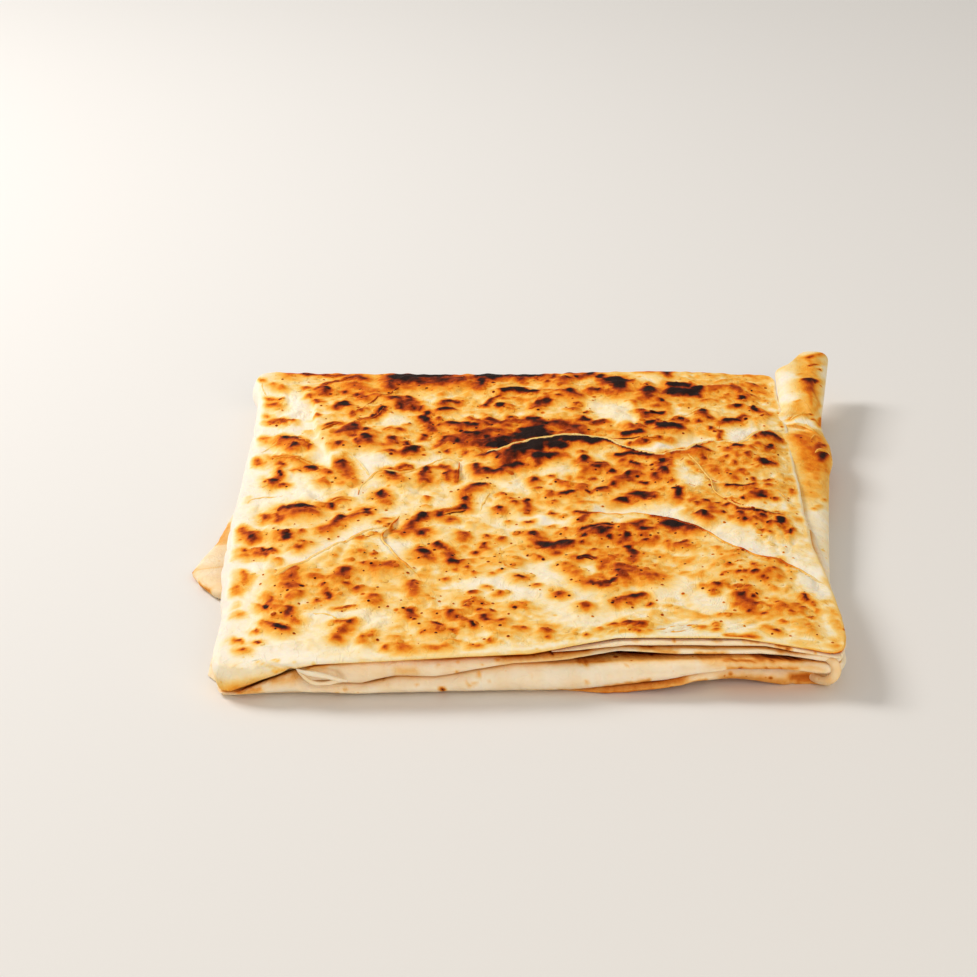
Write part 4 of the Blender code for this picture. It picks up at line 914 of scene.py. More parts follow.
# The small lips between the folds, in the same way.
SMALL_LIPS = [
    (0.70, 0.95, 0.50, [(-69, 53.3), (-66.7, 57), (-64.4, 59.5), (-61.6, 60.7)]),
    (0.66, 0.90, 0.56, [(-60.4, 57), (-56.8, 63.3), (-52, 64.5), (-49.3, 69.6), (-48, 76)]),
    (0.74, 0.55, 0.20, [(-63.3, 35), (-58, 35), (-54.5, 29), (-51.5, 23), (-50.8, 17.3)]),
    (0.66, 0.75, 0.36, [(-46.8, 22), (-42, 23.2), (-37.5, 25.5), (-34.6, 23.2)]),
    (0.70, 0.70, 0.34, [(-88.8, 35), (-85.4, 41), (-82.5, 47), (-79.4, 50.8), (-75.5, 50.8), (-71, 47)]),
    (0.70, 0.70, 0.34, [
        (-84.6, 29), (-81, 33.8), (-77.4, 33.8), (-71.5, 29), (-65.5, 23.2), (-63.5, 19.6),
    ]),
    (0.70, 0.75, 0.36, [(-91.7, -7), (-88.6, -1), (-84, 2.9), (-80, 1.9), (-77, 4.4), (-74, 5)]),
    (0.74, 0.75, 0.36, [
        (-86.5, -18.4), (-81.5, -10.7), (-78.5, -8), (-75.5, -5), (-68.4, -4), (-63.6, -5), (-60.6, -0.6),
        (-56.6, 0.4), (-52.8, -4),
    ]),
    (0.74, 0.65, 0.28, [(-15, -9.8), (-13.7, -1), (-11.7, 5)]),
    (0.66, 0.75, 0.36, [(-7, -27.8), (-1.6, -25), (3.5, -24), (8, -21.7), (12.6, -23.6)]),
    (0.62, 0.75, 0.36, [(-8.6, -33.3), (-8.6, -41.5), (-6.8, -50.5), (-1.8, -52.3), (4.2, -57.6)]),
    (0.62, 0.65, 0.28, [(72.2, 39), (75.8, 38.6), (78, 35), (79, 33)]),
    (0.78, 0.60, 0.26, [(49.6, 65.5), (54, 69.5), (58.5, 74.4), (61.7, 77.5), (63, 80.5)]),
    (0.62, 0.75, 0.36, [(-82, -85.7), (-80.5, -81.6), (-78.5, -78.2)]),
    (0.70, 0.75, 0.36, [(-67.3, -80), (-64.2, -82), (-58.6, -83.2), (-56.2, -87.4), (-51.4, -88.2)]),
    (0.62, 0.75, 0.36, [(-20, -76.5), (-16.2, -73), (-13, -75.7), (-10, -77.4)]),
    (0.66, 0.75, 0.36, [(81, -65.7), (85.7, -72.6), (90, -80.4)]),
    (0.62, 0.75, 0.36, [(-1, -78.2), (2.7, -80)]),
    (0.60, 0.60, 0.30, [(-91.4, 101), (-91.3, 92), (-90.8, 84)]),
]
# The creases, drawn as dark strips whose darkness is painted shade for the slit: half width against the
# usual one, and the points.
CREASES = [
    (1.0, [(-55.8, 73.4), (-50.2, 83.8), (-43, 94.4)]),
    (1.0, [(-71.5, 93), (-68.2, 98.4), (-63.4, 102.4), (-56.5, 105)]),
    (1.0, [(-54, 3.6), (-53, 10.4), (-50.3, 15)]),
    (1.2, [(-59, -32.4), (-55.3, -30), (-51.5, -26.8)]),
    (0.9, [(-55, -35.8), (-51.3, -33.3), (-46.7, -30.6)]),
    (0.9, [(-56.3, -78.2), (-52.2, -78.2)]),
    (1.3, [(-29.2, -9.8), (-23.6, -8.3), (-18, -6.4)]),
    (1.2, [(-27.5, -13), (-22.8, -10.7), (-18.5, -8.8)]),
    (1.2, [(15.6, -10.7), (18.4, -10.7), (22.7, -14.6)]),
    (1.2, [(15, -46), (17.4, -44.3), (20, -47)]),
    (1.0, [(53, 32), (56.4, 23), (58.4, 15.7), (62.2, 13), (64.7, 12)]),
    (0.9, [(47.8, 20.2), (50, 23.8), (52, 28.4)]),
    (1.0, [(49, 7.6), (52.6, 9.4), (55, 7.6)]),
    (1.0, [(65, 0.6), (66.8, -2), (68.5, -3.8)]),
    (1.1, [(65.7, 55.3), (65, 47)]),
    (1.1, [(46, 37.7), (48.6, 40), (52.4, 41.4)]),
    (0.9, [(65.3, 57.7), (66.2, 64.5), (68, 69.5)]),
    (1.0, [(25.3, 51), (36.4, 50), (46, 50)]),
    (1.0, [(-22.4, 12), (-21.8, 20.7), (-21.6, 29.6)]),
]


def between(values, i, j):
    """The value of a grid at a place between its points."""
    low_i, low_j = min(int(i), values.shape[0] - 2), min(int(j), values.shape[1] - 2)
    part_i, part_j = i - low_i, j - low_j
    low = values[low_i, low_j] * (1 - part_j) + values[low_i, low_j + 1] * part_j
    high = values[low_i + 1, low_j] * (1 - part_j) + values[low_i + 1, low_j + 1] * part_j
    return low * (1 - part_i) + high * part_i


def laid_on(laid, wanted):
    """Where each wanted point falls in a grid laid out like the marks, as places between its points."""
    found = []
    for goal in wanted:
        i, j = np.unravel_index(np.argmin(((laid - goal) ** 2).sum(axis=-1)), laid.shape[:2])
        i, j = np.clip(i, 1, laid.shape[0] - 2), np.clip(j, 1, laid.shape[1] - 2)
        slopes = np.column_stack([laid[i + 1, j] - laid[i - 1, j], laid[i, j + 1] - laid[i, j - 1]]) / 2
        step = np.clip(np.linalg.lstsq(slopes, goal - laid[i, j], rcond=None)[0], -1, 1)
        place = np.clip((i + step[0], j + step[1]), 0, (laid.shape[0] - 1, laid.shape[1] - 1))
        found.append(tuple(place))
    return found


def evened(values):
    """The values of a run, each averaged with its neighbours."""
    half = STRIP_SMOOTHING // 2
    padded = np.concatenate([values[:1]] * half + [values] + [values[-1:]] * half)
    return np.mean([padded[k:k + len(values)] for k in range(STRIP_SMOOTHING)], axis=0)


def strip_runs(laid, ground, heats, rows, sunk, seed):
    """The runs that strips follow on a sheet: points, edges, how stout each is there, and how baked."""
    points, edges, girths, bakes = [], [], [], []
    for girth, share, least, most, path in rows:
        path = rounded(path)
        run = np.concatenate([[0], np.cumsum(np.hypot(*np.diff(path, axis=0).T))])
        at = np.linspace(0, run[-1], int(run[-1] / STRIP_SPACING) + 3)
        middle = np.column_stack([np.interp(at, run, path[:, k]) for k in (0, 1)])
        ahead = np.gradient(middle, axis=0)
        ahead /= np.linalg.norm(ahead, axis=1)[:, None]
        left_hand = np.column_stack([-ahead[:, 1], ahead[:, 0]])
        here = laid_on(laid, middle)
        raised = laid_on(laid, middle + left_hand * LIP_SET_BACK)
        browned = laid_on(laid, middle + left_hand * LIP_HEAT_FROM)
        place = np.array([between(ground, *spot) for spot in here])
        place[:, 2] = np.array([between(ground[..., 2], *spot) for spot in raised]) - sunk
        heat_there = np.array([between(heats, *spot) for spot in browned])
        taper = np.sqrt(np.clip(np.minimum(at, run[-1] - at) / min(STRIP_TAPER, run[-1] / 2), 0.01, 1.0))
        uneven = 1 + 0.35 * lumps(middle[:, 0], middle[:, 1], 3.0, seed)
        first = len(points)
        points += list(evened(place))
        edges += [(first + k, first + k + 1) for k in range(len(at) - 1)]
        girths += list(girth * taper * uneven)
        mottle = 0.06 * lumps(middle[:, 0], middle[:, 1], 2.0, seed + 1)
        bakes += list(np.clip(evened(heat_there) * share, least, most) + mottle)
    return points, edges, girths, bakes


def new_tree(name, result, wanted):
    """A node tree with its named inputs and result: the tree, the inputs' identifiers, and both ends."""
    tree = bpy.data.node_groups.new(name, "GeometryNodeTree")
    sockets = {}
    for socket_name, kind in wanted:
        socket = tree.interface.new_socket(socket_name, in_out="INPUT", socket_type="NodeSocket" + kind)
        sockets[socket_name] = socket.identifier
    tree.interface.new_socket(result, in_out="OUTPUT", socket_type="NodeSocketGeometry")
    return tree, sockets, tree.nodes.new("NodeGroupInput").outputs, tree.nodes.new("NodeGroupOutput").inputs


def step(tree, kind, settings={}, **inputs):
    """A node of the tree: its own settings, and a value or another node's result for each input."""
    node = tree.nodes.new(kind)
    for name, value in settings.items():
        setattr(node, name, value)
    for name, value in inputs.items():
        socket = node.inputs[name.replace("_", " ")]
        if hasattr(value, "is_output"):
            tree.links.new(value, socket)
        else:
            socket.default_value = value
    return node


def kept(tree, name):
    """The value that the points carry under that name."""
    node = step(tree, "GeometryNodeInputNamedAttribute", {"data_type": "FLOAT"}, Name=name)
    return node.outputs["Attribute"]


def stored(tree, shape, name, value):
    """The shape with a value kept at its points under that name."""
    at_points = {"data_type": "FLOAT", "domain": "POINT"}
    node = step(tree, "GeometryNodeStoreNamedAttribute", at_points, Geometry=shape, Name=name, Value=value)
    return node.outputs["Geometry"]


def finished(tree, shape, dough):
    """The shape smooth, as plain faces, and made of the dough."""
    smooth = step(tree, "GeometryNodeSetShadeSmooth", Geometry=shape)
    real = step(tree, "GeometryNodeRealizeInstances", Geometry=smooth.outputs["Geometry"])
    made = step(tree, "GeometryNodeSetMaterial", Geometry=real.outputs["Geometry"], Material=dough)
    return made.outputs["Geometry"]


def strip_tree():
    """Nodes that draw a thin rounded strip along runs of edges, with painted shade down its right-hand
    side.
    """
    tree, sockets, given, made = new_tree("pinched_strip", "Strips", (
        ("Runs", "Geometry"), ("Half Width", "Float"), ("Half Height", "Float"), ("Sides", "Int"),
        ("Underside", "Float"), ("Dough", "Material"),
    ))
    curve = step(tree, "GeometryNodeMeshToCurve", Mesh=given["Runs"]).outputs["Curve"]
    upright = step(tree, "GeometryNodeSetCurveNormal", {"mode": "Z_UP"}, Curve=curve)
    ring = step(tree, "GeometryNodeCurvePrimitiveCircle", Resolution=given["Sides"], Radius=1.0)
    # How far each point of the section turns to the right-hand side and down: where it gets its painted
    # shade.
    facing = step(tree, "ShaderNodeVectorMath", {"operation": "DOT_PRODUCT"})
    tree.links.new(tree.nodes.new("GeometryNodeInputPosition").outputs["Position"], facing.inputs[0])
    facing.inputs[1].default_value = STRIP_SHADED_SIDE
    shaded = stored(tree, ring.outputs["Curve"], "under", facing.outputs["Value"])
    size = step(tree, "ShaderNodeCombineXYZ", X=given["Half Width"], Y=given["Half Height"], Z=1.0)
    section = step(tree, "GeometryNodeTransform", Geometry=shaded, Scale=size.outputs["Vector"])
    drawn = step(
        tree, "GeometryNodeCurveToMesh", Curve=upright.outputs["Curve"], Scale=kept(tree, "girth"),
        Profile_Curve=section.outputs["Geometry"], Fill_Caps=True,
    )
    # Painted shade: the lower right-hand side of the strip is drawn darker, by the Underside amount.
    turned_down = math_node(tree, "MAXIMUM", kept(tree, "under"), 0.5)
    browner = math_node(tree, "MULTIPLY_ADD", turned_down, given["Underside"], kept(tree, "baked"))
    toasted = stored(tree, drawn.outputs["Mesh"], "baked", browner)
    tree.links.new(finished(tree, toasted, given["Dough"]), made["Strips"])
    return tree, sockets


def drawn_by(tree, sockets, name, points, edges, faces, shades, sizes):
    """A plain object that the tree draws from a mesh, with the shades' values kept at the mesh's points."""
    mesh = bpy.data.meshes.new(name)
    mesh.from_pydata(placed(points).tolist(), edges, faces)
    keep_shades(mesh, shades)
    piece = bpy.data.objects.new(name, mesh)
    bpy.context.scene.collection.objects.link(piece)
    modifier = piece.modifiers.new(name, "NODES")
    modifier.node_group = tree
    for size_name, value in sizes.items():
        modifier[sockets[size_name]] = value
    evaluated = piece.evaluated_get(bpy.context.evaluated_depsgraph_get())
    plain = bpy.data.meshes.new_from_object(evaluated)
    piece.modifiers.clear()
    piece.data = plain
    bpy.data.meshes.remove(mesh)
    plain.name = name
    return piece


def strips(name, sheet, rows, sunk, seed, half_width, half_height, sides, underside):
    """A piece of strips along the rows' paths on a sheet, given as its layout, its points and its heat."""
    points, edges, girths, bakes = strip_runs(*sheet, rows, sunk, seed)
    sizes = {"Half Width": half_width * MM, "Half Height": half_height * MM, "Sides": sides}
    sizes |= {"Underside": underside, "Dough": crust}
    shades = {"girth": girths, "baked": bakes}
    return drawn_by(pinched_strip, strip_sockets, name, points, edges, [], shades, sizes)


pinched_strip, strip_sockets = strip_tree()
face_sheet = (np.stack([edge_x, edge_y], axis=-1), face_points, heat)
lip_rows = [(girth, share, LIP_LEAST, most, path) for girth, share, most, path in FOLD_LIPS]
small_lip_rows = [(girth, share, LIP_LEAST, most, path) for girth, share, most, path in SMALL_LIPS]
crease_rows = [(girth, *CREASE_DARKNESS, path) for girth, path in CREASES]
# The last number of each is how much painted shade a strip gets under its overhang.
creased = [
    strips("fold_lips", face_sheet, lip_rows, 0.10, 101.5, 0.62, 0.40, 10, 0.30),
    strips("small_lips", face_sheet, small_lip_rows, 0.17, 105.5, 0.70, 0.40, 10, 0.24),
    strips("nipped_creases", face_sheet, crease_rows, 0.08, 103.5, 0.30, 0.20, 8, 0.10),
]
for piece in creased:
    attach(piece, "root")
    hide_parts("gozleme")

# ------------------------------------------------------------------------------ pimples and blisters
# Steam lifted small bubbles in the skin while it lay on the plate: pimples that burnt dark at their tips,
# thickest at the front, and wider low blisters that only turned a shade browner.
PIMPLE_SIDES = 8
PIMPLE_RINGS = 5


def pimple_tree():
    """Nodes that scatter low domes over a sheet, thickest where the sheet says, browned at their tops."""
    tree, sockets, given, made = new_tree("steam_pimples", "Pimples", (
        ("Sheet", "Geometry"), ("Apart", "Float"), ("Thickest", "Float"), ("Draw", "Int"),
        ("Smallest", "Float"), ("Largest", "Float"), ("Lowness", "Float"), ("Browner", "Float"),
        ("Dough", "Material"),
    ))
    spread = step(
        tree, "GeometryNodeDistributePointsOnFaces", {"distribute_method": "POISSON"},
        Mesh=given["Sheet"], Distance_Min=given["Apart"], Density_Max=given["Thickest"],
        Density_Factor=kept(tree, "likely"), Seed=given["Draw"],
    )
    dome = step(tree, "GeometryNodeMeshUVSphere", Segments=PIMPLE_SIDES, Rings=PIMPLE_RINGS, Radius=1.0)
    place = tree.nodes.new("GeometryNodeInputPosition").outputs["Position"]
    height = step(tree, "ShaderNodeSeparateXYZ", Vector=place).outputs["Z"]
    capped = stored(tree, dome.outputs["Mesh"], "cap", height)
    squash = step(tree, "ShaderNodeCombineXYZ", X=1.0, Y=1.0, Z=given["Lowness"])
    low_dome = step(tree, "GeometryNodeTransform", Geometry=capped, Scale=squash.outputs["Vector"])
    size = step(tree, "FunctionNodeRandomValue", {"data_type": "FLOAT"}, Seed=given["Draw"])
    for end, name in (("Min", "Smallest"), ("Max", "Largest")):
        socket = [i for i in size.inputs if i.name == end and i.type == "VALUE"][0]
        tree.links.new(given[name], socket)
    placing = step(
        tree, "GeometryNodeInstanceOnPoints", Points=spread.outputs["Points"],
        Instance=low_dome.outputs["Geometry"], Rotation=spread.outputs["Rotation"],
        Scale=[o for o in size.outputs if o.type == "VALUE"][0],
    )
    real = step(tree, "GeometryNodeRealizeInstances", Geometry=placing.outputs["Instances"])
    tip = math_node(tree, "MAXIMUM", kept(tree, "cap"), 0.0)
    browner = math_node(tree, "MULTIPLY_ADD", tip, given["Browner"], kept(tree, "baked"))
    toasted = stored(tree, real.outputs["Geometry"], "baked", browner)
    tree.links.new(finished(tree, toasted, given["Dough"]), made["Pimples"])
    return tree, sockets


steam_pimples, pimple_sockets = pimple_tree()
sheet_points = face_points.reshape(-1, 3)
inside = soft_step((93.0 - np.abs(x)) / 6) * soft_step((109.0 - np.abs(y)) / 6)
thicker_in_front = 0.35 + 0.65 * soft_step((30 - y) / 60)
tipped = inside * soft_step((heat - 0.10) / 0.16) * soft_step((0.80 - heat) / 0.15) * thicker_in_front
swollen = inside * soft_step((heat - 0.22) / 0.2) * soft_step((0.85 - heat) / 0.2)
scattered = []
for kind_name, likely, apart, thickest, draw, smallest, largest, lowness, browner in (
    ("burnt_pimples", tipped, 2.6, 0.022, 5, 0.20, 0.66, 0.34, 0.55),
    ("low_blisters", swollen, 2.2, 0.030, 9, 0.6, 1.15, 0.20, 0.03),
):
    sizes = {
        "Apart": apart * MM, "Thickest": thickest / MM**2, "Draw": draw, "Smallest": smallest * MM,
        "Largest": largest * MM, "Lowness": lowness, "Browner": browner, "Dough": crust,
    }
    shades = {"likely": likely, "baked": heat}
    scattered.append(drawn_by(
        steam_pimples, pimple_sockets, kind_name, sheet_points, [], faces[:COLUMNS * ROWS], shades, sizes,
    ))
for piece in scattered:
    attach(piece, "root")
    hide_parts("gozleme")

# -------------------------------------------------------------------------- the folds under the hem
# The rest of the same sheet, folded in below its top: the tuck, then the main fold, then the foot fold
# on the table, which runs out on the left as a pointed tab. Only their edges met the heat, so they are
# pale, and each is a soft rounded nose lying loose on the one below.
GAP = 0.4
LEAST_THICKNESS = 0.2
FOLD_BACK = 7.0
TUCK_TIP = 2.6
FOLD_TIP = 4.2
FOOT_TIP = 2.4
TUCK_CEILING = 12.4
FOLD_ANGLES = (90, 74, 58, 42, 27, 13, 0, -13, -27, -42, -58, -74, -90)
FRONT_ZONE = -93
LEFT_ZONE = -88
# Painted shade in the gaps between the folds: how much darker each row of a fold's points is drawn,
# from over its nose to its hidden back.
PAINTED_GAP_SHADE = [0.30, 0.12, 0.03] + [0.0] * 8 + [0.06, 0.14, 0.1, 0.3]

# The height of the lower edge of each fold, and how far its nose stands out from the plan.
SEAM = line(
    (front, {
        -89: 1.5, -84: 3.2, -80: 4.9, -75: 6.7, -72: 7.6, -69: 6.8, -65: 5.0, -50: 4.0, -40: 6.0, -28: 6.0,
        -15: 8.3,
    }),
    (front, {-5: 10.0, 8: 9.9, 25: 11.3, 32: 11.3, 42: 10.6, 70: 10.8, 86: 9.6}),
    (right, {-98: 8.6, -60: 7.2, 0: 6.2, 37: 5.6, 60: 6.0, 80: 7.2, 100: 8.6}),
    (back, {84: 8.0, 70: 4.4, -60: 4.2, -88: 3.8}),
    (left, {98: 4.3, 0: 4.6, -30: 4.8, -60: 4.4, -107: 2.2}),
)
FOLD = line(
    (front, {-89: 1.2, -70: 1.2, -50: 0.8, 12: 0.8, 30: 2.7, 40: 4.0, 50: 5.8, 58: 7.4, 72: 7.4, 84: 6.0}),
    (right, {-100: 5.2, -60: 3.6, 60: 3.0, 100: 3.2}),
    (back, {84: 3.0, 40: 1.8, -60: 1.6, -88: 1.8}),
    (left, {98: 2.2, 24: 2.8, 4: 3.6, -46: 3.8, -60: 2.6, -107: 1.2}),
)
FOOT = line(
    (front, {-89: 0.0, 28: 0.0, 40: 1.6, 49: 2.9, 60: 2.2, 70: 1.6, 79: 0.0}),
    (right, {-100: 0.0, 100: 0.0}),
)
TUCK_REACH = line(
    (front, {-90: -6.5, -80: -7.0, -72: -5.0, -65: -0.4, -20: -0.6, 0: -1.6, 14: -3.6, 28: -6.6}),
    (front, {45: -5.2, 78: -4.0, 88: -0.6}),
    (right, {-98: 0.4, -60: 0.6, -20: 0.4, 60: 0.2, 98: -0.4}),
    (back, {84: -1.6, -88: -2.4}),
    (left, {98: -2.6, -90: -2.6, -107: -1.6}),
)
FOLD_REACH = line(
    (front, {-90: -1.0, -82: -0.2, 80: 0.0, 88: 0.4}),
    (right, {-98: 0.6, -60: -0.8, 100: -1.0}),
    (back, {84: -0.6, -88: -0.4}),
    (left, {98: -1.0, 0: -2.4, -100: -1.6, -109: -1.0}),
)
FOOT_REACH = line(
    (front, {-90: -2.6, -78: -4.2, 8: -4.5, 22: -1.2, 44: -1.0, 60: -4.6, 76: -4.2, 85: -3.6}),
    (right, {-102: -4.0, -92: -3.0, -60: -2.0, 100: -2.2}),
    (back, {84: -2.6, -88: -2.6}),
    (left, {98: -2.8, 28: -2.6, 12: 3.4, 0: 4.8, -10: 6.6, -20: 10.0, -28: 12.4, -36: 9.0, -44: 4.4}),
    (left, {-51: -2.0, -78: -2.6, -86: 1.8, -96: 2.0, -104: -1.6}),
)

# The toasted places on the folds' edges, and the painted shade in the gaps under the folds above them,
# along the front as they are seen: heat in hundredths, width, and a path of (x, z); and down the left side
# the same in (y, z).
# Along the tuck, the wider rows that lie just under the hem are its painted shadow; the narrow ones are
# toasted spots.
TUCK_TOAST_AND_SHADE = [
    (40, 0.6, -27, 10.8), (56, 0.6, -21, 8.6), (42, 0.5, -14, 11.0), (56, 0.4, -9.5, 12.4),
    (56, 0.4, 1, 13.2), (84, 0.5, 6.5, 13.8), (72, 0.5, 12, 15.2),
    (44, 2.4, -8, 12.8, 2, 13.2, 10, 13.6, 16, 15.0), (46, 0.7, 67, 16.2, 63, 16.0),
    (36, 2.0, 20, 17, 30, 17.8), (46, 1.0, 48, 13.4, 56, 13.6), (52, 0.8, 72, 14.0, 79, 13.8),
    (44, 1.4, 32, 15.4, 42, 13.8), (34, 3.0, -64, 10.5, -60, 11), (32, 3.0, -38, 9.2, -34, 9.0),
]
FOLD_TOAST_AND_SHADE = [
    (100, 0.7, -25.6, 3.3, -25.4, 2.9), (100, 0.4, -25.5, 3.1), (38, 0.5, -15, 8.2, -15, 7.4),
    (34, 0.4, -19, 5.6, -17.5, 4.2, -15.6, 5.0), (44, 0.5, 16, 10.9, 16, 10.2), (46, 0.6, 16, 4.8),
    (46, 0.5, -56, 2.2), (46, 0.4, -53.5, 3.5), (44, 0.4, -42.5, 6.6), (38, 0.4, -33, 4.8),
    # The bands high up from x 14 to 38 are painted shade in the gap under the tuck; the rest are toasted
    # spots and streaks.
    (34, 0.3, -12, 5.4), (36, 0.4, 0.5, 7), (40, 0.4, 28, 10), (50, 0.8, 14, 11.7, 18.5, 12.2, 22.5, 12.4),
    (46, 1.4, 25.5, 14.2, 29.5, 14.6, 35, 14.4), (34, 1.4, 25.5, 13.2, 29.5, 13.6, 34, 13.4),
    (58, 0.8, 33.5, 14.2, 38, 13.6), (30, 1.8, 50, 11.4, 62, 11.2, 68, 11.4),
    (62, 0.5, 56, 11.3, 60, 11.4, 65, 10.8), (56, 1.8, 65.5, 11.7, 69.5, 12.0, 71.5, 11.8),
    (70, 0.6, 69.5, 10.9), (58, 1.0, 72.5, 11.4, 77.5, 11.2),
    (29, 2.2, 52, 10.2, 64.5, 9.6, 76.5, 9.4, 84, 8.2), (88, 0.5, 60.5, 8.8), (88, 0.5, 67.5, 9),
    (84, 0.4, 72, 8.8), (52, 0.7, 57, 8.8, 77, 8.7), (48, 0.7, -26, 1, -20.5, 1),
    (48, 0.8, -4, 1.6, 9.5, 1.8, 21.5, 2.2), (44, 1.4, -84, 2.6, -78, 3.6), (34, 2.0, -74, 6.2, -68, 7.0),
    (52, 0.9, 22, 3.0, 34, 5.0),
]
# The foot's bands are painted shade where it lies back under the folds and along the table, over a little
# toast where it lay on the plate.
FOOT_TOAST_AND_SHADE = [
    (54, 2.6, 8, 1.2, 22, 1.9, 34, 3.0, 44, 5.0), (66, 1.4, 20, 0.8, 32, 1.2, 42, 2.4, 50, 4.4),
    (46, 3.0, 56, 5.4, 64, 5.0, 74, 4.0), (46, 1.0, 58, 3.4, 66, 2.2, 74, 1.6, 80, 1.4),
    (64, 2.2, 76, 5.4, 80, 5.8, 82, 5.4), (56, 2.4, 78, 4.4, 84, 4.4),
]
LEFT_TUCK_MARKS = [(60, 0.8, -65, 5.0), (56, 0.6, -62, 5.2), (66, 0.6, -40, 5.0), (50, 0.8, 30, 5.0)]
LEFT_FOOT_MARKS = [
    (50, 0.8, -34, 0.8, -26, 0.9), (56, 0.9, -44, 2.0, -38, 1.6), (45, 2.0, -12, 2.6, 4, 2.8),
    (70, 0.8, -31, 2.4), (56, 1.2, -86, 2.2), (66, 0.7, -92, 2.2), (48, 1.0, -104, 1.6),
]
# How far the stacked folds part, beyond the little gap between them.
TUCK_SAG = line(
    (front, {
        -82: 0.0, -72: 0.7, -62: 0.9, -52: 0.3, -36: 0.5, -26: 0.9, -18: 0.4, 2: 0.2, 70: 0.1, 80: 0.5,
        86: 0.3,
    }),
    (right, {-90: 0.3, 90: 0.3}),
    (back, {80: 0.2, -80: 0.2}),
    (left, {100: 0.2, -100: 0.2}),
)
FOLD_SAG = line(
    (front, {
        -84: 0.1, -76: 0.2, -68: 0.2, -52: 0.1, -20: 0.2, 4: 0.4, 16: 1.0, 26: 1.4, 34: 1.2, 44: 0.4,
        60: 0.0,
    }),
    (front, {76: 0.1, 86: 0.2}),
    (right, {-90: 0.4, 90: 0.3}),
    (back, {80: 0.2, -80: 0.2}),
    (left, {100: 0.2, -60: 0.4, -100: 0.2}),
)
# Dimples pressed into the folds at the front: width, depth, and a path of (x, height as seen there).
TUCK_DIMPLES = [(2.0, 2.6, [(-62.6, 8.2), (-59, 7.9), (-56.5, 7.4)]), (5.0, 0.8, [(-44, 8.0), (-38, 9.0)])]
FOLD_DIMPLES = [
    (3.0, 0.7, [(-30, 5.0), (-24, 6.0)]),
    (4.0, 0.6, [(-66, 4.6), (-60, 3.0)]),
    (2.2, 0.7, [(44, 8.0), (50, 8.6)]),
    (1.0, 0.5, [(54, 9.6), (62, 9.4), (70, 9.7), (84, 8.4)]),
    (3.0, 0.6, [(4, 6), (10, 7)]),
    (0.8, 0.4, [(-80, 3.4), (-74, 4.6)]),
]
FOOT_DIMPLES = [
    (3.4, 2.6, [(79, 5.4), (82, 4.6)]),
    (0.7, 0.5, [(58, 4.6), (63, 5.2)]),
    (0.8, 0.5, [(76, 3.2), (77, 1.2)]),
]


def fold_skin_shade(at, base, front_marks, left_marks, seed):
    """How dark a fold is drawn at each point: faint clouds, and its own marks of toast and painted shade at
    the front and on the left.
    """
    x, y, z = at.T
    baked = base + 0.06 * lumps(x + y, z * 2, 7, seed) + 0.05 * lumps(x, y, 2.5, seed)
    jog_x, jog_z = 0.7 * lumps(x, z, 1.8, seed + 3), 0.45 * lumps(x, z, 1.4, seed + 4)
    seen = scorched(x + jog_x, seen_height(at) + jog_z, front_marks, SIDE_SPREAD)[0] * (y < FRONT_ZONE)
    if left_marks:
        on_side = scorched(y + jog_x, z + jog_z, left_marks, SIDE_SPREAD)[0] * (x < LEFT_ZONE)
        seen = np.maximum(seen, on_side)
    return np.maximum(baked, seen)


def ring_fold(name, reach, tip, top, bottom, seed, base, dimples, front_marks, left_marks):
    """A fold that runs right round the packet: its rounded nose, and its two leaves running in behind."""
    ripple = 0.32 * lumps(rim_x, rim_y, 9, seed) + 0.18 * lumps(rim_x, rim_y, 3.4, seed + 2)
    top = top + 0.14 * lumps(rim_x, rim_y, 6, seed + 5)
    bottom = np.minimum(bottom + 0.5 * ripple * np.minimum(bottom, 1.0), top - LEAST_THICKNESS)
    bottom = np.maximum(bottom, 0.0)
    rows = nose(reach + ripple, tip * depth, top, bottom, FOLD_ANGLES)
    inner = np.minimum(reach, 0.0) - tip - FOLD_BACK
    rows += [(inner, bottom), (inner, top)]
    points, rings = [], []
    for k, (out, height) in enumerate(rows):
        in_nose = k < len(FOLD_ANGLES)
        rough = 0.16 * lumps(rim_x + 3 * k, rim_y + 5 * k, 2.6, seed + 7)
        rough += 0.2 * lumps(rim_x, rim_y + 7 * height, 6, seed + 8)
        ring = np.column_stack([offset_point(rim_across, rim_along, out + rough * in_nose), height])
        for dimple_width, dimple_depth, path in dimples:
            away = beside(ring[:, 0], seen_height(ring), path)[0] + FAR_OFF * (ring[:, 1] > FRONT_ZONE)
            ring[:, 1] += dimple_depth * np.exp(-((away / dimple_width) ** 2)) * in_nose
        rings.append(np.arange(len(points), len(points) + len(shares)))
        points += list(ring)
    baked = fold_skin_shade(np.array(points), base, front_marks, left_marks, seed)
    # The upper leaf runs back into the gap. Where the fold lies back, it is painted darker over and under
    # its nose and on its hidden back: painted shade in the gap.
    sheltered = 1 - soft_step(reach / 3)
    gap_shade = (np.array(PAINTED_GAP_SHADE)[:, None] * sheltered).ravel()
    return build(name, points, bands(rings + rings[:1]), fold_skin, baked=baked + gap_shade)


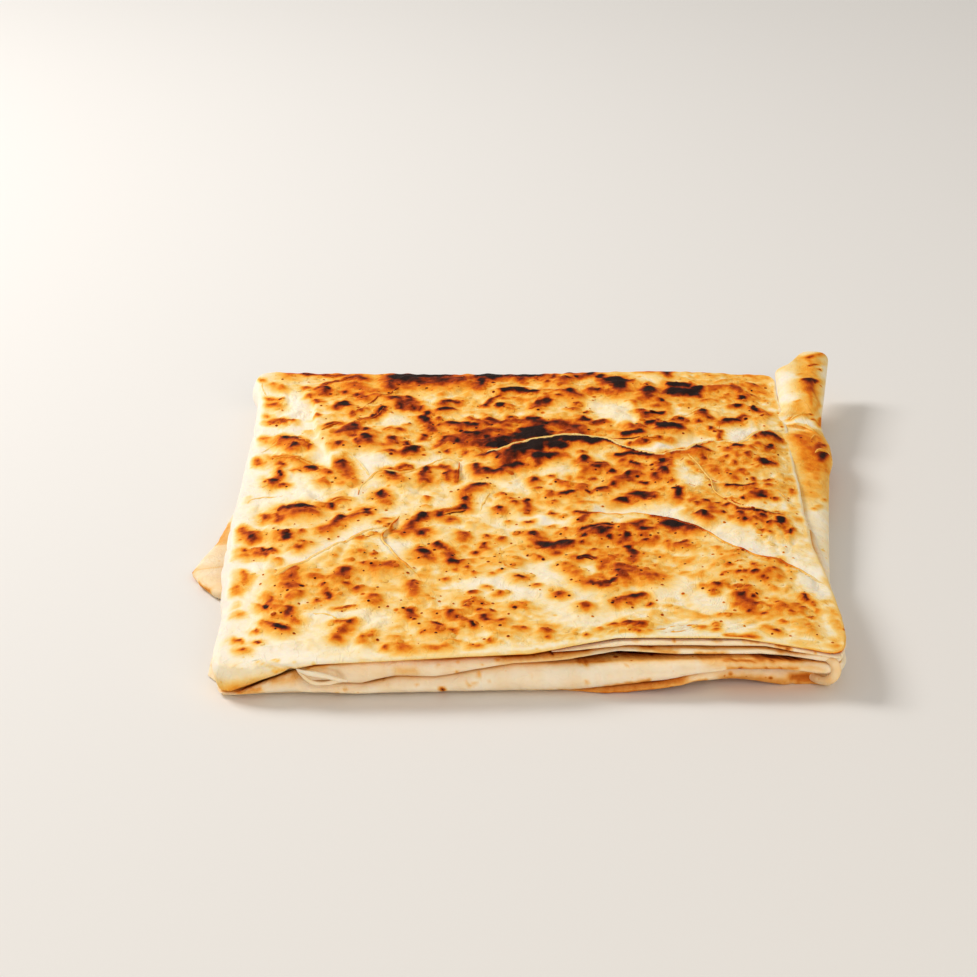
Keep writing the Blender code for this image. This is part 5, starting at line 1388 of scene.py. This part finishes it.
hem, seam, fold, foot = HEM(shares), SEAM(shares), FOLD(shares), FOOT(shares)
FOLDED = (
    (0.00, 253, 243, 225), (0.12, 251, 230, 198), (0.24, 247, 212, 160), (0.34, 243, 192, 120),
    (0.45, 233, 163, 77), (0.56, 212, 124, 40), (0.66, 184, 94, 22), (0.76, 144, 62, 12), (0.86, 98, 38, 9),
    (0.95, 56, 22, 10), (1.00, 32, 18, 12),
)
fold_skin = dough_material("folded_dough", FOLDED, grain=0.06, wrinkled=0.3)
tuck_top = np.minimum(hem, TUCK_CEILING) - GAP - TUCK_SAG(shares)
tuck = ring_fold(
    "tuck", TUCK_REACH(shares), TUCK_TIP, np.maximum(tuck_top, seam + LEAST_THICKNESS),
    seam, 31.5, 0.14, TUCK_DIMPLES, TUCK_TOAST_AND_SHADE, LEFT_TUCK_MARKS,
)
fold_top = seam - GAP - FOLD_SAG(shares)
main_fold = ring_fold(
    "main_fold", FOLD_REACH(shares), FOLD_TIP, np.maximum(fold_top, fold + LEAST_THICKNESS),
    fold, 41.5, 0.11, FOLD_DIMPLES, FOLD_TOAST_AND_SHADE, [],
)
foot_fold = ring_fold(
    "foot_fold", FOOT_REACH(shares), FOOT_TIP, np.maximum(fold - GAP, foot + LEAST_THICKNESS),
    foot, 51.5, 0.16, FOOT_DIMPLES, FOOT_TOAST_AND_SHADE, LEFT_FOOT_MARKS,
)
for piece in (tuck, main_fold, foot_fold):
    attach(piece, "root")
    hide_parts("gozleme")

# -------------------------------------------------------------- the leaf and lips at the front edge
# A thin leaf of the sheet shows between the hem and the tuck at the front right. At the left the end of
# the tuck curls over itself into a small cup, and at the right corner the foot turns up round the folds.
LEAF_FROM = 6.0
LEAF_TO = 89.5
LEAF_STATIONS = 260
LEAF_RUN_BACK = 7.0
LEAF_TIP = 1.3
LEAF_TOP = {6: 12.9, 14: 13.1, 30: 13.4, 60: 13.4, 72: 13.2, 80: 12.7, 90: 12.0}
LEAF_BOTTOM = {6: 12.6, 14: 12.4, 30: 12.5, 60: 12.5, 72: 12.3, 80: 11.8, 90: 11.4}
LEAF_REACH = {6: -4.0, 14: -5.0, 28: -7.6, 42: -7.2, 68: -6.2, 76: -3.4, 83: -1.4, 90: 0.6}
LEAF_MARKS = [
    (62, 0.6, 39, 18.8, 41, 18.6), (88, 0.5, 41.5, 17.6), (56, 0.6, 53, 17.8, 55.5, 17.6),
    (64, 0.7, 58.5, 19, 63, 19), (58, 0.6, 71, 16.2, 75, 15.0), (50, 0.6, 82, 13.4),
    (46, 0.5, 30, 18.0, 36, 18.4), (44, 0.6, 62, 17.2, 66, 16.8),
]
LIP_SIDES = 14
LIP_SPACING = 0.35
LIP_TAPER = 4.0

leaf_x = np.linspace(LEAF_FROM, LEAF_TO, LEAF_STATIONS)
leaf_edge = -108.2 - 4.4 * (92.0 - leaf_x) / 184.4
leaf_waver = 0.3 * lumps(leaf_x, leaf_edge, 6, 81.5) + 0.15 * lumps(leaf_x, leaf_edge, 2.5, 82.5)


def tube(sections):
    """The faces of a tube between rings of point numbers, closed at both ends."""
    ends = (sections[0], sections[-1][::-1])
    return bands(sections) + [tuple(int(n) for n in ring) for ring in ends]


def on_leaf(profile):
    """The value of one of the leaf's lines at each of its stations."""
    return np.interp(leaf_x, list(profile), list(profile.values()))


leaf_rows = nose(
    on_leaf(LEAF_REACH) + leaf_waver, LEAF_TIP, on_leaf(LEAF_TOP), on_leaf(LEAF_BOTTOM),
    (90, 66, 44, 22, 0, -22, -44, -66, -90),
)
leaf_back = on_leaf(LEAF_REACH) - LEAF_TIP - LEAF_RUN_BACK
leaf_rows += [(leaf_back, on_leaf(LEAF_BOTTOM)), (leaf_back, on_leaf(LEAF_TOP))]
leaf_points = np.array([
    np.column_stack([leaf_x, leaf_edge - reach, height + 0.15 * leaf_waver]) for reach, height in leaf_rows
])
leaf_points = leaf_points.transpose(1, 0, 2).reshape(-1, 3)
leaf_sections = [np.arange(len(leaf_rows)) + s * len(leaf_rows) for s in range(LEAF_STATIONS)]
leaf_faces = tube(leaf_sections)
leaf_shade = fold_skin_shade(leaf_points, 0.18, LEAF_MARKS, [], 83.5)
leaf = build("leaf", leaf_points, leaf_faces, fold_skin, baked=leaf_shade)


def lip(name, path, thickness, height, base, seed):
    """A thick rounded lip of dough along a path of (x, y, z), thinning away at both ends."""
    path = rounded(path)
    run = np.concatenate([[0], np.cumsum(np.linalg.norm(np.diff(path, axis=0), axis=1))])
    count = int(run[-1] / LIP_SPACING) + 2
    at = np.linspace(0, run[-1], count)
    middle = np.column_stack([np.interp(at, run, path[:, k]) for k in range(3)])
    ahead = np.gradient(middle, axis=0)
    ahead /= np.linalg.norm(ahead, axis=1)[:, None]
    forward = np.array([0.0, -1.0, 0.0]) - ahead * (ahead @ np.array([0.0, -1.0, 0.0]))[:, None]
    forward /= np.linalg.norm(forward, axis=1)[:, None]
    sideways = np.cross(ahead, forward)
    taper = np.sqrt(np.clip(np.minimum(at, run[-1] - at) / LIP_TAPER, 0.02, 1.0))
    taper = taper * (1 + 0.16 * lumps(middle[:, 0], middle[:, 2], 2.2, seed))
    points = []
    for k in range(LIP_SIDES):
        angle = 2 * math.pi * k / LIP_SIDES
        out = forward * (math.cos(angle) * thickness * taper)[:, None]
        points.append(middle + out + sideways * (math.sin(angle) * height * taper)[:, None])
    points = np.array(points).transpose(1, 0, 2).reshape(-1, 3)
    sections = [np.arange(LIP_SIDES) + s * LIP_SIDES for s in range(count)]
    baked = base + 0.06 * lumps(points[:, 0], points[:, 2], 2, seed)
    return build(name, points, tube(sections), fold_skin, baked=baked)


CURL_TOP = [
    (-67.4, -112.2, 10.2), (-65, -112.8, 9.4), (-62, -113.2, 9.1), (-59.6, -113.2, 8.7),
    (-57.4, -113, 8.0), (-55, -112.8, 7.1), (-52.6, -112.2, 6.3),
]
CURL_CUP = [
    (-67.2, -112.2, 9.8), (-65.6, -112.9, 8.6), (-64.4, -113.2, 7.5), (-62.8, -113.4, 6.5),
    (-60.8, -113.4, 6.1), (-58.4, -113.2, 6.2), (-55.8, -112.8, 6.6), (-53.4, -112.2, 6.2),
]
CORNER_WRAP = [
    (84.4, -105.2, 10.1), (87.0, -107.0, 10.0), (88.2, -107.6, 8.6), (88.2, -107.8, 6.6),
    (87.2, -107.5, 4.6), (85.2, -106.0, 3.0), (82.6, -102.6, 2.3), (80.0, -97.5, 2.0),
]
curl_top = lip("curl_top", CURL_TOP, 0.8, 0.75, 0.10, 91.5)
curl_cup = lip("curl_cup", CURL_CUP, 0.7, 0.6, 0.16, 92.5)
corner_wrap = lip("corner_wrap", CORNER_WRAP, 1.2, 1.4, 0.24, 93.5)
for piece in (leaf, curl_top, curl_cup, corner_wrap):
    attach(piece, "root")
    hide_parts("gozleme")

# ------------------------------------------------------------------------------------------ the flap
# The end of the tuck, which runs out from under the hem on the right and stands up behind the back
# edge as a thick folded flap. It met the plate in places, and is pinched where it comes out.
FLAP_START = -64.0
FLAP_END = 119.6
FLAP_STATIONS = 300
FLAP_SECTION = 96
FLAP_ROUND = 2.2
FLAP_TIP = 0.25
FLAP_SQUARENESS = 2.4
FLAP_SLANT = 3.0
FLAP_NOTCH = 10.0
FLAP_SLANT_START = 60.0
FLAP_BULGE = (93.5, 62.5)
FLAP_STEP_END = 4
FLAP_STEP_FADE = 6
FLAP_HOLLOW_FADE = 3
FLAP_RIGHT = {
    -64: 90.6, -50: 92.3, -22: 95.0, 9: 98.1, 31: 100.6, 40: 102.6, 50: 102.8, 58: 102.2, 66: 101.3,
    74: 102.2, 84: 103.8, 100: 106.2, 119: 109.0,
}
FLAP_LEFT = {-64: 76.0, 58: 77.0, 66: 82.0, 76: 88.0, 117: 88.8}
FLAP_TOP = {
    -64: 8.4, -50: 9.6, 0: 11.6, 30: 12.4, 50: 13.8, 61: 12.8, 67: 14.0, 77: 16.4, 100: 17.4, 119: 18.6,
}
FLAP_BOTTOM = {-64: 4.5, 30: 4.1, 58: 4.3, 84: 7.6, 117: 10.4}
# The scorch marks and washes of the flap, laid out like those of the face.
FLAP_MARKS = [
    (97, 3.6, 98.4, 99.6, 101.4, 99.9), (86, 4.0, 99.4, 97.5, 99.1, 90), (56, 4.6, 97.2, 96, 97.2, 92),
    (66, 1.6, 99.2, 91, 98.6, 84), (90, 0.6, 100.6, 112.8, 102, 114.1, 103.5, 114.5),
    (62, 2.6, 100, 120.4, 103.2, 123, 106, 124.6), (78, 1.2, 101.1, 120.7, 102.8, 122.2),
    (54, 2.6, 101.4, 118, 101.2, 104), (62, 0.8, 103.8, 110.5), (58, 0.5, 96.4, 105.4, 97.9, 106.2),
    (60, 0.4, 93.1, 80, 94.7, 81.3), (60, 1.4, 98.7, 83, 98.3, 76),
    (92, 1.0, 91.6, 66.3, 92.8, 67.6, 95.2, 69.3, 97.6, 69.1), (72, 0.5, 90.2, 64.1, 92.5, 67.3),
    (60, 2.2, 96, 67.0), (56, 0.4, 99.7, 90.4, 100.9, 84.6, 101.6, 78, 99.6, 73),
    (66, 0.5, 98.3, 64.9, 99.7, 61.7, 100.7, 58.1), (68, 0.9, 101.3, 66, 100.7, 59.6),
    (50, 0.4, 89, 59.3, 92.6, 58.9, 95.6, 57.3, 97.7, 53.8), (58, 0.4, 95.7, 46.7, 98, 52.2),
    (90, 1.1, 98.6, 44.6), (76, 0.8, 98.8, 48.3), (90, 1.6, 100.2, 42.2), (78, 5.0, 98.4, 42, 96.4, 34),
    (98, 4.4, 99.4, 35, 98.0, 29), (100, 2.2, 98.8, 33, 98.2, 30), (70, 6.0, 92, 50, 94, 40),
    (62, 3.0, 96, 22, 95.4, 14), (66, 1.4, 96.4, -2), (60, 1.2, 93.8, -7), (70, 0.7, 89.9, -52),
    (60, 0.6, 92, -9),
]
FLAP_WASHES = [
    (48, 8, 101, 118, 100.6, 104), (44, 8, 97.8, 92, 96, 72), (9, 7.5, 91, 84, 91.6, 104),
    (14, 4.6, 104.6, 70, 106.4, 112), (8, 8.5, 90, 62.5, 96.4, 60, 99, 56), (58, 10, 96, 50, 96, 22),
    (44, 8, 95, 16, 94, 4), (26, 8, 93, -6, 93, -12), (12, 8, 91, -60, 93, -14),
]
# Creases of the flap, walked with the raised side on the left hand: points, rise, hollow.
FLAP_STEPS = [
    ([(98.6, 69.6), (97.4, 69.2), (95.2, 69.4), (92.6, 67.4), (90, 64)], 0.7, 0.6),
    ([(98.2, 70.6), (99.8, 73.4), (101.6, 77.5), (100.9, 84.6), (99.6, 91), (101.5, 103)], 0.5, 0.5),
    ([(88.6, 59.4), (92.6, 58.9), (95.6, 57.3), (97.7, 53.8), (98.9, 51.5)], 0.7, 0.4),
    ([(101.2, 58), (99.7, 61.7), (98.3, 64.9)], 0.4, 0.4),
]
# Its lips and creases: half width against the usual one, the share of the heat beside it that it took, the
# least and the most that it can have, and the points.
FLAP_LIPS = [
    (0.9, 0.60, 0.06, 0.30, [(98.2, 69.0), (95.2, 68.6), (92.6, 66.4), (90, 63.2)]),
    (0.8, 0.60, 0.06, 0.22, [(89, 59.3), (92.6, 58.9), (95.6, 57.3), (97.7, 53.8), (98.7, 51.8)]),
    (1.6, 0.40, 0.10, 0.24, [(96.4, 35), (97.5, 37.5), (99.1, 37.8), (100.9, 36.3), (101.6, 31.6)]),
    (0.7, 0.60, 0.06, 0.26, [(95.7, 46.7), (98, 52.2)]),
]
# The flap's creases are drawn darker than the sheet beside them: painted shade for the slit.
FLAP_CREASES = [
    (0.9, 1.15, 0.60, 0.84, [(100.6, 112.8), (102, 114.1), (103.5, 114.5)]),
    (0.8, 1.1, 0.54, 0.8, [(98.3, 64.9), (99.7, 61.7), (100.7, 58.1)]),
    (0.8, 1.1, 0.5, 0.74, [(97.4, 88), (98.6, 92.5)]),
]


def along_flap(profile, place):
    """The value of one of the flap's lines at a place along it."""
    return np.interp(place, list(profile), list(profile.values()))


def squared(part):
    """A sine or cosine pushed outwards, so that the ellipse it draws is a little square."""
    return np.copysign(np.abs(part) ** (2 / FLAP_SQUARENESS), part)


station = np.linspace(FLAP_START, FLAP_END, FLAP_STATIONS)[:, None]
turn = np.linspace(0, 2 * math.pi, FLAP_SECTION, endpoint=False)[None, :]
from_end = np.minimum(1.0, np.minimum(station - FLAP_START, FLAP_END - station) / FLAP_ROUND)
size = FLAP_TIP + (1 - FLAP_TIP) * np.sqrt(1 - (1 - from_end) ** 2)
right_edge, left_edge = along_flap(FLAP_RIGHT, station), along_flap(FLAP_LEFT, station)
upper, lower = along_flap(FLAP_TOP, station), along_flap(FLAP_BOTTOM, station)
over, up = squared(np.cos(turn)) * (0.86 + 0.14 * size), squared(np.sin(turn)) * size
slanting = soft_step((station - FLAP_SLANT_START) / (FLAP_END - FLAP_SLANT_START))
back_off = FLAP_SLANT * (1 - over) / 2 + FLAP_NOTCH * soft_step((0.1 - over) / 0.75)
flap_x = (right_edge + left_edge) / 2 + over * (right_edge - left_edge) / 2
flap_y = station - slanting * back_off
flap_z = (upper + lower) / 2 + up * (upper - lower) / 2
flap_swell = 0.5 * lumps(flap_x, flap_y, 8, 61.5) + 0.2 * lumps(flap_x, flap_y, 3, 62.5)
flap_z = flap_z + np.maximum(up, 0) * flap_swell
laid_x = flap_x + 0.35 * lumps(flap_x, flap_y, 2.4, 65.5)
laid_y = flap_y + RISE_SHIFT * (flap_z - LAID_OUT_AT) + 0.4 * lumps(flap_x, flap_y, 2.6, 66.5)
flap_layout = np.stack([laid_x, laid_y], axis=-1)
flap_baked = 0.26 + 0.12 * lumps(flap_x, flap_y, 8, 63.5) + 0.06 * lumps(flap_x, flap_y, 2.5, 64.5)
flap_baked = washed(laid_x, laid_y, flap_baked, FLAP_WASHES) + 0.07 * lumps(flap_x, flap_y, 3.4, 67.5)
flap_hot, flap_lift = scorched(laid_x, laid_y, FLAP_MARKS, 0.7)
flap_baked = np.where(up > -0.2, np.maximum(flap_baked, flap_hot), flap_baked)
flap_bulge = np.exp(-(((laid_x - FLAP_BULGE[0]) / 4.5) ** 2) - ((laid_y - FLAP_BULGE[1]) / 3.0) ** 2)
flap_relief = 0.6 * flap_lift + 0.5 * flap_bulge
for path, rise, hollow in FLAP_STEPS:
    fades = (FLAP_STEP_END, FLAP_STEP_FADE, FLAP_HOLLOW_FADE)
    flap_relief = flap_relief + stepped(laid_x, laid_y, path, rise, hollow, *fades)[0]
flap_z = flap_z + flap_relief * soft_step(up / 0.4)
flap_points = np.stack([flap_x, flap_y, flap_z], axis=-1).reshape(-1, 3)
sections = [np.arange(FLAP_SECTION) + s * FLAP_SECTION for s in range(FLAP_STATIONS)]
flap = build("flap", flap_points, tube(sections), crust, baked=flap_baked)

# Its own lips and creases, on its upper half, with painted shade under the lips and in the creases.
flap_top = slice(2, FLAP_SECTION // 2 - 1)
flap_ground = np.stack([flap_x, flap_y, flap_z], axis=-1)[:, flap_top]
flap_sheet = (flap_layout[:, flap_top], flap_ground, flap_baked[:, flap_top])
flap_strips = [
    strips("flap_lips", flap_sheet, FLAP_LIPS, 0.10, 111.5, 0.55, 0.40, 10, 0.30),
    strips("flap_creases", flap_sheet, FLAP_CREASES, 0.06, 113.5, 0.28, 0.20, 8, 0.10),
]
for piece in (flap, *flap_strips):
    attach(piece, "root")
    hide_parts("gozleme")

# ------------------------------------------------------------------------------------------ the sole
# The underside, which lay on the griddle first: a flat leaf of the same dough, baked gold with round
# brown spots. It closes the packet from below, a little inside the folds' edges.
SOLE_INSET = 11.5
SOLE_COLUMNS = 110
SOLE_ROWS = 132
SOLE_THICKNESS = 1.2
SOLE_SPOTS = 260
spot_draw = np.random.default_rng(7)
sole_spots = []
for _ in range(SOLE_SPOTS):
    spot_x, spot_y = spot_draw.uniform(-84, 84), spot_draw.uniform(-100, 100)
    sole_spots.append((spot_draw.uniform(55, 92), spot_draw.uniform(1.5, 6.0), spot_x, spot_y))
sole_across, sole_along = np.meshgrid(
    np.linspace(-1, 1, SOLE_COLUMNS + 1), np.linspace(-1, 1, SOLE_ROWS + 1), indexing="ij"
)
sole_plan = offset_point(sole_across, sole_along, -SOLE_INSET)
sole_x, sole_y = sole_plan[..., 0], sole_plan[..., 1]
sole_hot, _ = scorched(sole_x, sole_y, sole_spots)
sole_baked = 0.36 + 0.14 * lumps(sole_x, sole_y, 14, 71.5) + 0.06 * lumps(sole_x, sole_y, 4, 72.5)
sole_baked = np.maximum(sole_baked, sole_hot)
under = np.stack([sole_x, sole_y, np.zeros(sole_x.shape)], axis=-1).reshape(-1, 3)
sole_steps, _ = rim_steps(SOLE_COLUMNS, SOLE_ROWS)
lower_ring = sole_steps[:, 0] * (SOLE_ROWS + 1) + sole_steps[:, 1]
upper_ring = np.arange(len(under), len(under) + len(lower_ring))
sole_points = np.vstack([under, under[lower_ring] + (0, 0, SOLE_THICKNESS)])
corners = cell_corners(SOLE_COLUMNS, SOLE_ROWS).tolist()
sole_faces = [(c, c + 1, c + SOLE_ROWS + 2, c + SOLE_ROWS + 1) for c in corners]
sole_faces += bands([upper_ring, lower_ring]) + [tuple(int(n) for n in upper_ring)]
sole_shade = np.concatenate([sole_baked.ravel(), sole_baked.ravel()[lower_ring]])
sole = build("sole", sole_points, sole_faces, crust, baked=sole_shade)
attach(sole, "root")
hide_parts("gozleme")

# -------------------------------------------------------------------------------- floor and light
# A plain pale table for the packet to lie on, with a soft lamp high at the back left, a weaker and warmer
# one from the front, and a faint even light all round.
floor_mesh = bpy.data.meshes.new("floor")
floor_mesh.from_pydata([(-3, -3, 0), (3, -3, 0), (3, 3, 0), (-3, 3, 0)], [], [(0, 1, 2, 3)])
floor = bpy.data.objects.new("floor", floor_mesh)
bpy.context.scene.collection.objects.link(floor)
pale = bpy.data.materials.new("pale_table")
pale.use_nodes = True
pale.node_tree.nodes["Principled BSDF"].inputs["Base Color"].default_value = (0.82, 0.80, 0.78, 1)
pale.node_tree.nodes["Principled BSDF"].inputs["Roughness"].default_value = 0.7
floor_mesh.materials.append(pale)


def soft_light(name, place, aim, size, power, colour):
    """A square area light at place, turned to aim, both in metres."""
    lamp = bpy.data.lights.new(name, "AREA")
    lamp.size = size
    lamp.energy = power
    lamp.color = colour
    holder = bpy.data.objects.new(name, lamp)
    holder.location = place
    holder.rotation_euler = (Vector(aim) - Vector(place)).to_track_quat("-Z", "Y").to_euler()
    bpy.context.scene.collection.objects.link(holder)


soft_light("key_light", (-0.80, 0.45, 0.76), (0, 0, 0), 0.45, 9.9, (1.0, 0.985, 0.96))
soft_light("front_light", (0.35, -1.1, 0.55), (0, 0, 0), 0.9, 5.4, (1.0, 0.91, 0.78))

world = bpy.data.worlds.new("studio")
bpy.context.scene.world = world
world.use_nodes = True
world.node_tree.nodes["Background"].inputs["Color"].default_value = (1.0, 0.96, 0.90, 1)
world.node_tree.nodes["Background"].inputs["Strength"].default_value = 0.46
bpy.context.scene.view_settings.view_transform = "Standard"
